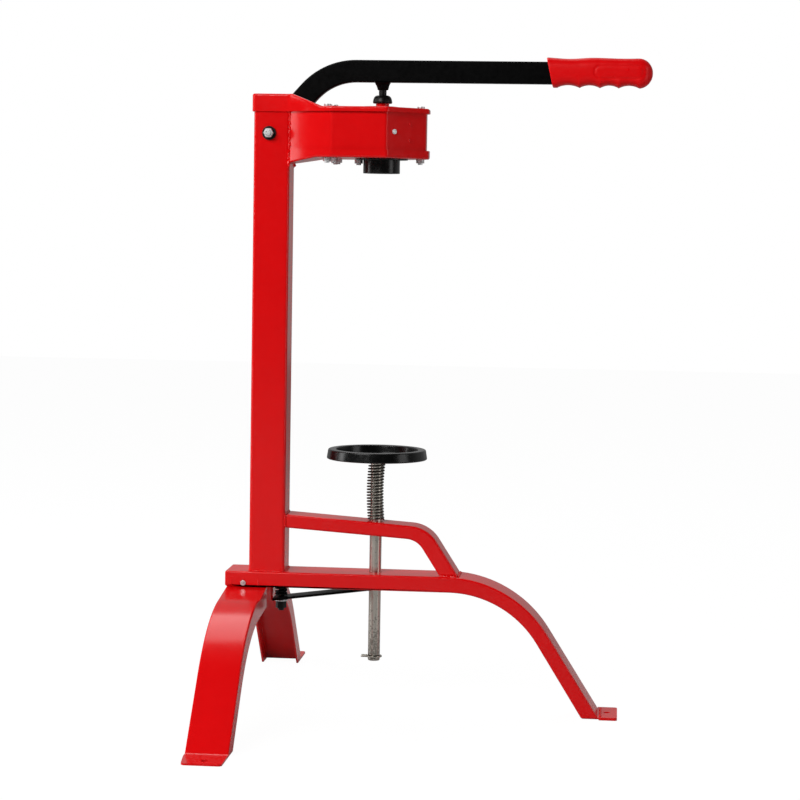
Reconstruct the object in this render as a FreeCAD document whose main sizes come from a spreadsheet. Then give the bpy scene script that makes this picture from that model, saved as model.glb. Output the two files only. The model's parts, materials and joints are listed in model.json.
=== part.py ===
import FreeCAD, Part
import math
import os
from types import SimpleNamespace

import Sketcher
from FreeCAD import Placement, Rotation, Vector

# Floor-standing lever corker: a welded frame on three legs, one long hand lever that drives a
# plunger through four sliding jaws, and a sprung rest that holds the work up to the neck guide.
# Every length is in millimetres. Reaches are measured along X from the plunger's axis, heights
# from the floor, and half widths from the plane of symmetry, Y = 0.

SIZES = {
    # column and lever pivot
    "column_reach": 113.8,
    "column_side": 38,
    "column_wall": 2,
    "column_corner": 3.5,
    "column_rise": 13,
    "pivot_reach": 116.4,
    "pivot_rise": 24.8,
    "pivot_radius": 3,
    # base beam with its bent front leg
    "base_width": 48.5,
    "base_top": 145.3,
    "base_depth": 16.5,
    "base_wall": 2,
    "base_tail": 157.3,
    "knee_reach": 147.5,
    "knee_radius": 126,
    "knee_step": 6.5,
    "foot_front_reach": 240.2,
    "foot_depth": 18.4,
    # front foot plate
    "plate_length": 18.8,
    "plate_width": 54.7,
    "plate_sheet": 3,
    "plate_corner": 3,
    "plate_hole_inset": 11,
    "foot_hole_radius": 3.5,
    # rear legs, pressed channels
    "leg_tail": 155.2,
    "leg_width": 42.6,
    "leg_sheet": 2,
    "leg_flange": 20,
    "leg_tab_rise": 8,
    "leg_knee_out": 146.3,
    "leg_knee_height": 117.1,
    "leg_knee_radius": 190,
    "leg_toe_out": 296,
    "leg_foot": 40,
    "leg_toe_taper": 3.5,
    "leg_hole_inset": 12.5,
    "leg_hole_along": 24.5,
    "leg_fold_radius": 3,
    "rivet_radius": 2,
    "rivet_head_radius": 2.9,
    "rivet_head_height": 1,
    "rivet_along": 17.5,
    # bracket that guides the rest's rod
    "bracket_width": 35,
    "bracket_wall": 1.5,
    "bracket_tail_top": 206.1,
    "bracket_tail_depth": 14.3,
    "bracket_knee_reach": 56.4,
    "bracket_knee_top": 196.2,
    "bracket_knee_radius": 36,
    "bracket_inner_step": 11.2,
    "bracket_depth": 13.6,
    "bracket_inner_radius": 22,
    "bracket_foot_front": 89.5,
    "bracket_foot_back": 69.4,
    # head housing
    "head_half": 45,
    "head_wall": 2,
    "flare_reach": 73,
    "flare_half": 35,
    "straight_reach": 48,
    "shoulder_reach": 8.5,
    "nose_reach": 47,
    "floor_bottom": 581.3,
    "floor_sheet": 2,
    "head_room": 48.9,
    "cover_sheet": 1.5,
    "lip": 3,
    "cover_rim": 5.2,
    "cap_fit": 0.3,
    "cap_corner": 4,
    "cap_slope_end": 58.6,
    "cap_slope_bend": 8,
    "cap_front_bend": 6,
    "tray_rim": 8.7,
    "tray_drop": 6.5,
    "tray_slope_end": 64,
    "tray_slope_bend": 25,
    "cork_hole_radius": 13.2,
    "cork_hole_shift": 6,
    "cork_ring_wall": 2.4,
    "cork_ring_rise": 1.8,
    "neck_hole_radius": 9.2,
    # jaws and their slider
    "jaw_side": 26,
    "jaw_bore": 8.2,
    "jaw_chamfer": 4,
    "jaw_fit": 0.15,
    "jaw_lead": 4,
    "seat_low": 24,
    "seat_high": 20,
    "yoke_wall": 5.5,
    "yoke_arm": 20,
    "jaw_travel": 12,
    "tongue_half": 9,
    "tongue_height": 28,
    "thrust_front": 64,
    "thrust_rear": 68,
    "thrust_half": 24,
    "ear_wall": 3.6,
    "ear_tail": 6,
    "roller_arm": 40,
    "roller_radius": 7.5,
    "roller_half": 9.8,
    "roller_pin_radius": 3,
    "post_front": 44.3,
    "post_rear": 52.3,
    "post_half": 20,
    "post_width": 12,
    "spring_radius": 4,
    "spring_wire": 1.2,
    # bolts through the head
    "bolt_radius": 2.5,
    "bolt_head_radius": 3.9,
    "bolt_head_height": 2.4,
    "nut_radius": 4.4,
    "nut_height": 4,
    "bolt_end": 1.6,
    "sleeve_radius": 4,
    "rear_bolt_reach": 53.2,
    "rear_bolt_half": 35.5,
    "nose_bolt_reach": 40.5,
    "seat_screw_along": -14.9,
    "seat_screw_rise": 25.1,
    "seat_pin_along": 6.5,
    "seat_pin_drop": 8.2,
    "seat_screw_radius": 2,
    "seat_screw_head": 2.7,
    "seat_pin_radius": 1.2,
    "seat_pin_head": 1.7,
    # neck guide under the head
    "guide_radius": 19.25,
    "guide_bore": 15.2,
    "guide_height": 15.3,
    "guide_flange_radius": 27.5,
    "guide_flange": 1.2,
    "guide_bolt_ring": 24.2,
    # lever
    "bar_height": 23,
    "bar_half": 6,
    "bar_rise": 66.1,
    "bar_bend_reach": 56.9,
    "bar_bend_radius": 66,
    "bar_end_inset": 10.3,
    "lever_lift": 60,
    "bush_radius": 7.5,
    "cheek_sheet": 4,
    "cheek_hub": 12.5,
    "cam_rate": 11.45,
    "slot_half": 6.6,
    "column_slot_half": 11.3,
    "column_slot_drop": 24,
    "rear_notch_rise": 3,
    # grip
    "grip_length": 106.3,
    "grip_reach": 280.3,
    "grip_over": 16.2,
    "grip_under": 14.9,
    "grip_half": 13.5,
    "grip_end_bend": 12,
    "grip_mouth_slant": 7,
    "ridge_pitch": 20.7,
    "ridge_depth": 3.4,
    "ridge_half": 7,
    "ridge_bend": 8,
    "ridge_first": 16,
    # plunger and its depth nut
    "plunger_radius": 4,
    "plunger_tip_rise": 0.1,
    "funnel_radius": 8.4,
    "funnel_height": 8,
    "nut_neck_radius": 6.9,
    "nut_neck_height": 4.8,
    "nut_crown_radius": 10.3,
    "nut_rim": 2.4,
    "nut_crown_height": 8.5,
    "nut_travel": 5,
    # rest
    "dish_radius": 53.2,
    "dish_rim_radius": 51.6,
    "dish_bottom": 265.8,
    "dish_height": 10.4,
    "dish_recess_radius": 42.5,
    "dish_floor": 3.2,
    "rod_radius": 6.35,
    "rod_bottom": 50.6,
    "rod_fit": 0.4,
    "rest_lift": 60,
    "rest_drop": 15,
    "rest_spring_radius": 9.1,
    "rest_spring_wire": 1.6,
    "rest_spring_turns": 21,
    "dish_screw_radius": 3,
    "dish_screw_head": 6,
    "dish_screw_depth": 15,
    "clip_rise": 3.6,
    "clip_radius": 8.5,
    "clip_sheet": 1.6,
    "clip_groove": 0.6,
    "clip_gap_half": 1.5,
    "clip_ear_half": 4.2,
    "clip_ear_reach": 13.5,
    # lock plate under the beam
    "lock_drop": 1.6,
    "lock_rise": 0.135,
    "lock_sheet": 2.5,
    "lock_tail": 108,
    "lock_end": 48,
    "lock_half": 12,
    "lock_hole": 6.95,
    "lock_bolt_reach": 100.3,
    "lock_bolt_radius": 3,
    "lock_bolt_hole": 3.8,
    "lock_bolt_length": 27.5,
    "lock_nut_radius": 5.8,
    "lock_nut_height": 7.6,
    "lock_spring_radius": 6.8,
    "lock_spring_wire": 1.6,
    "fulcrum_reach": 42,
    "fulcrum_radius": 2,
    "fulcrum_head": 3.2,
    "fulcrum_head_height": 2.6,
    "lock_slot_tail": 34,
    "lock_slot_end": 38.4,
    "lock_tilt": 2.5,
    # washers and running clearances
    "washer_sheet": 1.4,
    "washer_radius": 7.3,
    "pivot_nut_radius": 5.2,
    "pivot_nut_height": 6,
    "pivot_head_height": 5,
    "running": 0.1,
    "seated": 0.05,
    "gap": 0.3,
}


class Size:
    """A length with its present value and the formula that binds it to the sheet."""

    def __init__(self, value, text):
        self.value = float(value)
        self.text = text

    def __add__(self, other):
        other = as_size(other)
        return Size(self.value + other.value, f"({self.text} + {other.text})")

    def __sub__(self, other):
        other = as_size(other)
        return Size(self.value - other.value, f"({self.text} - {other.text})")

    def __mul__(self, other):
        other = as_size(other)
        return Size(self.value * other.value, f"({self.text} * {other.text})")

    def __truediv__(self, other):
        other = as_size(other)
        return Size(self.value / other.value, f"({self.text} / {other.text})")

    def __neg__(self):
        return Size(-self.value, f"(0 - {self.text})")

    __radd__ = __add__
    __rmul__ = __mul__

    def __rsub__(self, other):
        return as_size(other) - self


def as_size(number):
    if isinstance(number, Size):
        return number
    return Size(number, f"({float(number):.9f})")


def root(size):
    return Size(math.sqrt(size.value), f"sqrt({size.text})")


doc = FreeCAD.newDocument("lever_corker")
sheet = doc.addObject("Spreadsheet::Sheet", "Sizes")
for row, (name, value) in enumerate(SIZES.items(), start=1):
    sheet.set(f"A{row}", str(value))
    sheet.setAlias(f"A{row}", name)
doc.recompute()
s = SimpleNamespace(**{name: Size(value, "Sizes." + name) for name, value in SIZES.items()})

# Sizes that follow from the cells
HALF_ROOT = math.sqrt(0.5)
axis_x = (s.base_tail - s.grip_reach) / 2
column_front = -s.column_reach + s.column_side / 2
column_back = -s.column_reach - s.column_side / 2
base_bottom = s.base_top - s.base_depth
foot_back_reach = s.foot_front_reach - s.foot_depth
plate_toe = s.foot_front_reach + s.plate_length
leg_fold_out = s.leg_toe_out - s.leg_foot
base_half = s.base_width / 2
head_floor = s.floor_bottom + s.floor_sheet
ceiling = head_floor + s.head_room
cover_top = ceiling + s.cover_sheet
cover_rim_bottom = cover_top - s.cover_rim
tray_rim_top = s.floor_bottom + s.tray_rim
column_top = ceiling + s.column_rise
cap_top = column_top + s.cap_fit + s.cover_sheet
pivot_height = s.floor_bottom + s.pivot_rise
bar_level = pivot_height + s.bar_rise
bar_reach = s.grip_reach - s.bar_end_inset
cap_bend = column_front + 2 * s.cover_sheet
pivot_x = -s.pivot_reach
jaw_low = head_floor + s.gap
jaw_high = ceiling - s.gap
leg_front = -s.leg_tail + s.leg_width
rod_hole = s.rod_radius + s.rod_fit

parts = {}


def bind(thing, path, size):
    thing.setExpression(path, as_size(size).text)


def piece(thing, name):
    """Names a finished sub-part, which also names its file."""
    thing.Label = name
    parts[name] = thing
    return thing


# Primitives

def place(thing, x, y, z):
    for letter, distance in zip("xyz", (x + axis_x, as_size(y), as_size(z))):
        bind(thing, "Placement.Base." + letter, distance)


def block(name, x, y, z):
    """A box between a low and a high value along each axis."""
    thing = doc.addObject("Part::Box", name)
    for side, (low, high) in zip(("Length", "Width", "Height"), (x, y, z)):
        bind(thing, side, as_size(high) - low)
    place(thing, as_size(x[0]), y[0], z[0])
    return thing


TURNS = {"x": Rotation(Vector(0, 1, 0), 90), "y": Rotation(Vector(1, 0, 0), -90), "z": Rotation()}


def along(thing, axis, low, centre, turn=None):
    """Stands a round or six-sided primitive on its axis, from its low end."""
    thing.Placement = Placement(Vector(), turn or TURNS[axis])
    across = [as_size(value) for value in centre]
    across.insert("xyz".index(axis), as_size(low))
    place(thing, *across)
    return thing


def rod(name, radius, low, high, centre=(0, 0), axis="z"):
    thing = doc.addObject("Part::Cylinder", name)
    bind(thing, "Radius", radius)
    bind(thing, "Height", as_size(high) - low)
    return along(thing, axis, low, centre)


def hexagon(name, radius, low, high, centre=(0, 0), axis="z"):
    thing = doc.addObject("Part::Prism", name)
    thing.Polygon = 6
    bind(thing, "Circumradius", radius)
    bind(thing, "Height", as_size(high) - low)
    return along(thing, axis, low, centre)


def cone(name, low_radius, high_radius, low, high, centre=(0, 0)):
    thing = doc.addObject("Part::Cone", name)
    bind(thing, "Radius1", low_radius)
    bind(thing, "Radius2", high_radius)
    bind(thing, "Height", as_size(high) - low)
    return along(thing, "z", low, centre)


def fused(name, shapes):
    thing = doc.addObject("Part::MultiFuse", name)
    thing.Shapes = shapes
    return thing


def cut(name, base, tools):
    tool = tools[0] if len(tools) == 1 else fused(name + "_tools", tools)
    thing = doc.addObject("Part::Cut", name)
    thing.Base = base
    thing.Tool = tool
    return thing


def common(name, first, second):
    thing = doc.addObject("Part::Common", name)
    thing.Base = first
    thing.Tool = second
    return thing


def group(name, shapes):
    thing = doc.addObject("Part::Compound", name)
    thing.Links = shapes
    return thing


def ring(name, outer, inner, low, high, centre=(0, 0), axis="z"):
    bore = rod(name + "_bore", inner, low, high, centre, axis)
    return cut(name, rod(name + "_rim", outer, low, high, centre, axis), [bore])


# Outlines: a list of corners (across, up, bend radius or None)

def corner(across, up, radius=None):
    return (as_size(across), as_size(up), None if radius is None else as_size(radius))


def left_normal(first, second):
    across = second[0] - first[0]
    up = second[1] - first[1]
    length = root(across * across + up * up)
    return -up / length, across / length


def shifted(path, distance):
    """The same open path moved to its left by a distance, bends kept concentric."""
    distance = as_size(distance)
    normals = [left_normal(a, b) for a, b in zip(path, path[1:])]
    moved = []
    for index, (across, up, radius) in enumerate(path):
        before = normals[max(index - 1, 0)]
        after = normals[min(index, len(normals) - 1)]
        spread = before[0] * after[0] + before[1] * after[1] + 1
        if radius is not None:
            turns_left = before[0].value * after[1].value - before[1].value * after[0].value > 0
            radius = radius - distance if turns_left else radius + distance
        moved.append((across + distance * (before[0] + after[0]) / spread,
                      up + distance * (before[1] + after[1]) / spread, radius))
    return moved


def inset(outline, distance):
    """A closed outline, listed anticlockwise, moved inwards all round."""
    looped = [outline[-1]] + outline + [outline[0]]
    return shifted(looped, distance)[1:-1]


def ribbon(path, sheet):
    """The closed section of a bent sheet that lies to the left of its path."""
    return path + shifted(path, sheet)[::-1]


def mirrored(path):
    """The path's mirror image across its first axis, in reverse order."""
    return [(across, -up, radius) for across, up, radius in reversed(path)]


def draw(sketch, outline):
    """Draws a closed outline of lines and tangent arcs, each corner bound by formulas."""
    points = [Vector(a.value, u.value, 0) for a, u, _ in outline]
    count = len(points)
    starts, ends, bends = [], [], []
    for index, point in enumerate(points):
        coming = (point - points[index - 1]).normalize()
        going = (points[(index + 1) % count] - point).normalize()
        radius = outline[index][2]
        if radius is None:
            ends.append(point)
            starts.append(point)
            bends.append(None)
            continue
        turn = coming.getAngle(going)
        reach = radius.value * math.tan(turn / 2)
        ends.append(point - coming * reach)
        starts.append(point + going * reach)
        left = coming.x * going.y - coming.y * going.x > 0
        side = Vector(-coming.y, coming.x, 0) * (1 if left else -1)
        centre = ends[-1] + side * radius.value
        low, high = (ends[-1], starts[-1]) if left else (starts[-1], ends[-1])
        angles = [math.atan2(p.y - centre.y, p.x - centre.x) for p in (low, high)]
        bends.append((Part.ArcOfCircle(Part.Circle(centre, Vector(0, 0, 1), radius.value), *angles), left))
    for index in range(count):
        sketch.addGeometry(Part.LineSegment(starts[index], ends[(index + 1) % count]), False)
    rules = []
    for index, bend in enumerate(bends):
        before, after = (index - 1) % count, index
        if bend is None:
            sketch.addConstraint(Sketcher.Constraint("Coincident", before, 2, after, 1))
            rules.append((after, 1, outline[index]))
            continue
        arc = sketch.addGeometry(bend[0], False)
        dot = sketch.addGeometry(Part.Point(points[index]), True)
        first, last = (1, 2) if bend[1] else (2, 1)
        sketch.addConstraint(Sketcher.Constraint("Tangent", before, 2, arc, first))
        sketch.addConstraint(Sketcher.Constraint("Tangent", after, 1, arc, last))
        sketch.addConstraint(Sketcher.Constraint("PointOnObject", dot, 1, before))
        sketch.addConstraint(Sketcher.Constraint("PointOnObject", dot, 1, after))
        rule = sketch.addConstraint(Sketcher.Constraint("Radius", arc, outline[index][2].value))
        bind(sketch, f"Constraints[{rule}]", outline[index][2])
        rules.append((dot, 1, outline[index]))
    for geometry, point, (across, up, _) in rules:
        for kind, size in (("DistanceX", across), ("DistanceY", up)):
            rule = sketch.addConstraint(Sketcher.Constraint(kind, -1, 1, geometry, point, size.value))
            bind(sketch, f"Constraints[{rule}]", size)


def draw_circle(sketch, across, up, radius):
    across, up, radius = as_size(across), as_size(up), as_size(radius)
    centre = Vector(across.value, up.value, 0)
    circle = sketch.addGeometry(Part.Circle(centre, Vector(0, 0, 1), radius.value), False)
    for kind, size in (("DistanceX", across), ("DistanceY", up)):
        rule = sketch.addConstraint(Sketcher.Constraint(kind, -1, 1, circle, 3, size.value))
        bind(sketch, f"Constraints[{rule}]", size)
    rule = sketch.addConstraint(Sketcher.Constraint("Radius", circle, radius.value))
    bind(sketch, f"Constraints[{rule}]", radius)


# Bodies made of sketched features

def body(name):
    thing = doc.addObject("PartDesign::Body", name)
    bind(thing, "Placement.Base.x", axis_x)
    return thing


def sketch_on(part, plane, offset=0):
    """A sketch on one of the body's own origin planes; XZ faces towards -Y."""
    sketch = part.newObject("Sketcher::SketchObject", part.Name + "_sketch")
    role = plane + "_Plane"
    origin_plane = [item for item in part.Origin.OriginFeatures if item.Role == role][0]
    sketch.AttachmentSupport = (origin_plane, [""])
    sketch.MapMode = "FlatFace"
    side = -1 if plane == "XZ" else 1
    bind(sketch, "AttachmentOffset.Base.z", as_size(offset) * side)
    return sketch


def feature(part, kind, sketch, length):
    thing = part.newObject("PartDesign::" + kind, part.Name + "_" + kind.lower())
    thing.Profile = sketch
    thing.SideType = "Symmetric"
    bind(thing, "Length", length)
    return thing


def pad(part, plane, outline, low, high):
    low, high = as_size(low), as_size(high)
    sketch = sketch_on(part, plane, (low + high) / 2)
    draw(sketch, outline)
    return feature(part, "Pad", sketch, high - low)


def pocket(part, plane, outline, low, high):
    low, high = as_size(low), as_size(high)
    sketch = sketch_on(part, plane, (low + high) / 2)
    draw(sketch, outline)
    return feature(part, "Pocket", sketch, high - low)


def bore(part, plane, across, up, radius, low, high):
    low, high = as_size(low), as_size(high)
    sketch = sketch_on(part, plane, (low + high) / 2)
    draw_circle(sketch, across, up, radius)
    return feature(part, "Pocket", sketch, high - low)


def prism(name, plane, outline, low, high):
    part = body(name)
    pad(part, plane, outline, low, high)
    return part


def turned(name, outline):
    """A body of revolution about the plunger's axis, from a half section."""
    part = body(name)
    sketch = sketch_on(part, "XZ")
    draw(sketch, outline)
    spin = part.newObject("PartDesign::Revolution", name + "_spin")
    spin.Profile = sketch
    spin.ReferenceAxis = (sketch, ["V_Axis"])
    spin.Angle = 360
    return part


def rectangle(left, right, low, high):
    return [corner(left, low), corner(right, low), corner(right, high), corner(left, high)]


def rounded(outline, radius):
    """The same outline with every corner bent to one radius."""
    return [corner(across, up, radius) for across, up, _ in outline]


# Column: square tube with a slot for the cam and a notch for the raised lever

def make_column():
    half = s.column_side / 2
    plan = rounded(rectangle(column_back, column_front, -half, half), s.column_corner)
    outer = prism("column_outer", "XY", plan, s.base_top, column_top)
    pocket(outer, "XY", inset(plan, s.column_wall), s.base_top - 1, column_top + 1)
    slot = block("column_slot", (pivot_x, column_front), (-s.column_slot_half, s.column_slot_half),
                 (pivot_height - s.column_slot_drop, column_top))
    notch = block("column_notch", (column_back, pivot_x), (-s.slot_half, s.slot_half),
                  (pivot_height + s.rear_notch_rise, column_top))
    hole = rod("column_hole", s.pivot_radius + s.running, -half, half, (pivot_x, pivot_height), "y")
    piece(cut("column_tube", outer, [slot, notch, hole]), "column")


# Base beam: one rectangular tube, bent down into the front leg

def base_outline():
    return [
        corner(-s.base_tail, base_bottom),
        corner(s.knee_reach - s.knee_step, base_bottom, s.knee_radius - s.base_depth),
        corner(foot_back_reach, 0),
        corner(s.foot_front_reach, 0),
        corner(s.knee_reach, s.base_top, s.knee_radius),
        corner(-s.base_tail, s.base_top),
    ]


def make_base():
    part = prism("beam", "XZ", base_outline(), -base_half, base_half)
    inner_half = base_half - s.base_wall
    pocket(part, "XZ", inset(base_outline(), s.base_wall), -inner_half, inner_half)
    middle = s.base_top - s.base_depth / 2
    bore(part, "XY", 0, 0, rod_hole, middle - s.base_depth, middle + s.base_depth)
    under = (base_bottom - s.base_wall, base_bottom + s.base_wall + s.seated)
    slot = rectangle(-s.lock_slot_tail, s.lock_slot_end, -s.lock_half - s.gap, s.lock_half + s.gap)
    pocket(part, "XY", slot, *under)
    bore(part, "XY", -s.lock_bolt_reach, 0, s.lock_bolt_radius + s.seated, *under)
    bore(part, "XY", s.fulcrum_reach, 0, s.fulcrum_radius + s.seated, *under)
    leg_window = rectangle(-s.leg_tail - s.gap, leg_front + s.gap, -inner_half, inner_half)
    pocket(part, "XY", leg_window, *under)
    rivet_height = base_bottom + s.leg_tab_rise / 2
    bore(part, "XZ", -s.leg_tail + s.rivet_along, rivet_height, s.rivet_radius + s.seated,
         -base_half - 1, base_half + 1)
    piece(part, "base_beam")


def make_front_foot():
    """A plate whose heel is cut to the slant of the leg's front face, where it is welded on."""
    half = s.plate_width / 2
    slant = (s.foot_front_reach - s.knee_reach) / s.base_top
    heel = [
        corner(s.foot_front_reach, 0),
        corner(plate_toe, 0),
        corner(plate_toe, s.plate_sheet),
        corner(s.foot_front_reach - slant * s.plate_sheet, s.plate_sheet),
    ]
    heel_end = s.foot_front_reach - s.plate_length / 2
    plan = [
        corner(heel_end, -half),
        corner(plate_toe, -half, s.plate_corner),
        corner(plate_toe, half, s.plate_corner),
        corner(heel_end, half),
    ]
    flat = prism("front_plate", "XY", plan, -s.plate_sheet, 2 * s.plate_sheet)
    bore(flat, "XY", plate_toe - s.plate_hole_inset, 0, s.foot_hole_radius,
         -2 * s.plate_sheet, 3 * s.plate_sheet)
    piece(common("front_plate_cut", flat, prism("front_plate_side", "XZ", heel, -half, half)),
          "front_foot_plate")


def make_bracket():
    inner_height = s.bracket_knee_top - s.bracket_depth
    outline = [
        corner(column_front, s.bracket_tail_top - s.bracket_tail_depth),
        corner(s.bracket_knee_reach - s.bracket_inner_step, inner_height, s.bracket_inner_radius),
        corner(s.bracket_foot_back, s.base_top),
        corner(s.bracket_foot_front, s.base_top),
        corner(s.bracket_knee_reach, s.bracket_knee_top, s.bracket_knee_radius),
        corner(column_front, s.bracket_tail_top),
    ]
    half = s.bracket_width / 2
    part = prism("bracket", "XZ", outline, -half, half)
    pocket(part, "XZ", inset(outline, s.bracket_wall), -half + s.bracket_wall, half - s.bracket_wall)
    bore(part, "XY", 0, 0, rod_hole, inner_height - s.bracket_tail_depth,
         s.bracket_tail_top + s.bracket_tail_depth)
    piece(part, "rest_bracket")


# Rear legs: pressed channels, each with a riveted tab inside the beam and a turned-out foot

def leg_path():
    """The outer face of the sheet from the tab's top down to the toe."""
    tab_out = base_half - s.base_wall - s.running
    return [
        corner(tab_out, base_bottom + s.leg_tab_rise),
        corner(tab_out, base_bottom - s.gap),
        corner(s.leg_knee_out, s.leg_knee_height, s.leg_knee_radius),
        corner(leg_fold_out, s.leg_sheet, s.leg_fold_radius),
        corner(s.leg_toe_out, s.leg_sheet),
    ]


def turned_to(side, path):
    """The path as it lies on one side of the machine."""
    return [(out * side, up, radius) for out, up, radius in path]


def make_leg(name, side):
    tail, front = -s.leg_tail, leg_front
    sheet_path = leg_path()
    part = prism(name + "_sheet", "YZ", turned_to(side, ribbon(sheet_path, -s.leg_sheet)), tail, front)
    flange_path = [
        corner(base_half + s.running, base_bottom - s.gap - s.leg_sheet / 2),
        sheet_path[2],
        corner(leg_fold_out, s.leg_sheet),
    ]
    flange = turned_to(side, ribbon(flange_path, -s.leg_flange))
    pad(part, "YZ", flange, tail, tail + s.leg_sheet)
    pad(part, "YZ", flange, front - s.leg_sheet, front)
    floor = turned_to(side, rectangle(base_half, s.leg_toe_out, -s.leg_flange, 0))
    pocket(part, "YZ", floor, tail - 1, front + 1)
    bore(part, "XY", tail + s.leg_hole_along, (s.leg_toe_out - s.leg_hole_inset) * side, s.foot_hole_radius,
         -1, s.leg_sheet + 1)
    start, end = leg_fold_out * side, (s.leg_toe_out + 1) * side
    corner_cut = [corner(tail - 1, start), corner(tail + s.leg_toe_taper, end), corner(tail - 1, end)]
    pocket(part, "XY", corner_cut, -1, s.leg_sheet + 1)
    rivet_height = base_bottom + s.leg_tab_rise / 2
    bore(part, "XZ", tail + s.rivet_along, rivet_height, s.rivet_radius + s.seated,
         base_half * side - 3 * s.leg_sheet, base_half * side + 3 * s.leg_sheet)
    piece(part, name)


def make_leg_rivets():
    centre = (-s.leg_tail + s.rivet_along, base_bottom + s.leg_tab_rise / 2)
    inner = base_half - s.base_wall - s.running - s.leg_sheet - s.seated
    rivets = []
    for side in (-1, 1):
        spans = [(s.rivet_radius, inner, base_half + s.seated),
                 (s.rivet_head_radius, base_half, base_half + s.rivet_head_height),
                 (s.rivet_head_radius, inner - s.rivet_head_height, inner)]
        steps = []
        for radius, start, end in spans:
            low, high = (start, end) if side > 0 else (-end, -start)
            steps.append(rod("rivet_step", radius, low, high, centre, "y"))
        rivets.append(fused("rivet", steps))
    piece(group("rivet_pair", rivets), "leg_rivets")


# Head housing: two bent side walls between a pressed cover and a pressed tray

def wall_path():
    """The near wall's outer face in plan, from the column to the nose."""
    nose_half = s.head_half - s.nose_reach + s.shoulder_reach
    return [
        corner(column_front, -s.column_side / 2),
        corner(-s.flare_reach, -s.flare_half),
        corner(-s.straight_reach, -s.head_half),
        corner(s.shoulder_reach, -s.head_half),
        corner(s.nose_reach, -nose_half),
        corner(s.nose_reach, 0),
    ]


def make_walls():
    near = ribbon(wall_path(), s.head_wall)
    far = [(across, -up, radius) for across, up, radius in near]
    for name, outline in (("head_wall_near", near), ("head_wall_far", far)):
        part = prism(name + "_strip", "XY", outline, head_floor, ceiling)
        side = -1 if name.endswith("near") else 1
        tools = []
        for distance, height, radius in seat_fixings():
            tools.append(slanted_rod("wall_hole", side, distance, height, radius + s.seated,
                                     seat_outer() - 1, wall_outer() + 1))
        piece(cut(name + "_holed", part, tools), name)


def lip_plan(start):
    """The cover's or tray's outline in plan, from the column end round the nose."""
    near = start + shifted(wall_path(), -s.lip)[1:5]
    return near + mirrored(near)


def cover_plan():
    cap_half = s.column_side / 2 + s.cap_fit + s.cover_sheet
    cap_back = column_back - s.cap_fit - s.cover_sheet
    return lip_plan([corner(cap_back, -cap_half, s.cap_corner), corner(column_front - s.lip, -cap_half)])


def tray_plan():
    return lip_plan([corner(column_front, -s.column_side / 2 - s.lip)])


def cover_line(drop):
    """The cover's top in side view, lowered by a distance."""
    far_back, far_front = column_back - s.column_side, s.nose_reach + s.column_side
    line = [
        corner(far_front, cover_top),
        corner(-s.cap_slope_end, cover_top, s.cap_slope_bend),
        corner(cap_bend, cap_top, s.cap_front_bend),
        corner(far_back, cap_top),
    ]
    return shifted(line, drop)


def tray_line(lift):
    """The tray's underside in side view, raised by a distance."""
    line = [
        corner(column_front - s.lip, s.floor_bottom - s.tray_drop),
        corner(-s.tray_slope_end, s.floor_bottom, s.tray_slope_bend),
        corner(s.nose_reach + s.column_side, s.floor_bottom),
    ]
    return shifted(line, lift)


def under_cover(name, drop):
    line = cover_line(drop)
    outline = [corner(line[-1][0], cover_rim_bottom), corner(line[0][0], cover_rim_bottom)] + line
    return prism(name, "XZ", outline, -s.head_half - 2 * s.lip, s.head_half + 2 * s.lip)


def over_tray(name, lift):
    line = tray_line(lift)
    outline = line + [corner(line[-1][0], tray_rim_top), corner(line[0][0], tray_rim_top)]
    return prism(name, "XZ", outline, -s.head_half - 2 * s.lip, s.head_half + 2 * s.lip)


def bar_direction():
    """Run, rise and length of the lever's short arm, from the pivot to its bend."""
    run = s.pivot_reach - s.bar_bend_reach
    rise = bar_level - pivot_height
    return run, rise, root(run * run + rise * rise)


def slot_front():
    """Where the lowered lever's underside crosses the cover's slope, plus a small clearance."""
    run, rise, length = bar_direction()
    lean = run / rise
    fall = (cap_top - cover_top) / (-s.cap_slope_end - cap_bend)
    start = pivot_x + s.bar_height / 2 * rise / length
    height = cover_top - fall * s.cap_slope_end - pivot_height + s.bar_height / 2 * run / length
    return (start + lean * height) / (1 + lean * fall) + s.gap


def cork_ring_outline(radius):
    """A hole long enough for the rod's line and for the open jaws' centre."""
    return rectangle(-s.cork_hole_shift, 0, -radius, radius)


def long_hole(name, radius, low, high):
    steps = [rod(name + "_end", radius, low, high, (centre, 0)) for centre in (-s.cork_hole_shift, 0)]
    steps.append(block(name + "_mid", (-s.cork_hole_shift, 0), (-radius, radius), (low, high)))
    return fused(name, steps)


def head_bolt_centres():
    centres = [(-s.rear_bolt_reach, s.rear_bolt_half * side) for side in (-1, 1)]
    centres += [(-(s.post_front + s.post_rear) / 2, s.post_half * side) for side in (-1, 1)]
    return centres + [(s.nose_bolt_reach, as_size(0))]


def bolt_holes(name, low, high):
    return [rod(name, s.bolt_radius + s.seated, low, high, centre) for centre in head_bolt_centres()]


def make_cover():
    plan = cover_plan()
    shell = common("cover_outer", prism("cover_plan_outer", "XY", plan, cover_rim_bottom, cap_top),
                   under_cover("cover_side_outer", 0))
    hollow = common("cover_inner", prism("cover_plan_inner", "XY", inset(plan, s.cover_sheet),
                                         cover_rim_bottom, cap_top),
                    under_cover("cover_side_inner", s.cover_sheet))
    collar = long_hole("cover_ring", s.cork_hole_radius + s.cork_ring_wall,
                       ceiling, cover_top + s.cork_ring_rise)
    pressed = fused("cover_pressed", [cut("cover_shell", shell, [hollow]), collar])
    hole = long_hole("cork_hole", s.cork_hole_radius, ceiling - 1, cover_top + 2 * s.cork_ring_rise)
    slot = block("lever_slot", (column_back - s.column_side, slot_front()), (-s.slot_half, s.slot_half),
                 (cover_rim_bottom, cap_top))
    tools = [hole, slot] + bolt_holes("cover_bolt_hole", ceiling - 1, cover_top + 1)
    piece(cut("cover_holed", pressed, tools), "head_cover")


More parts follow.
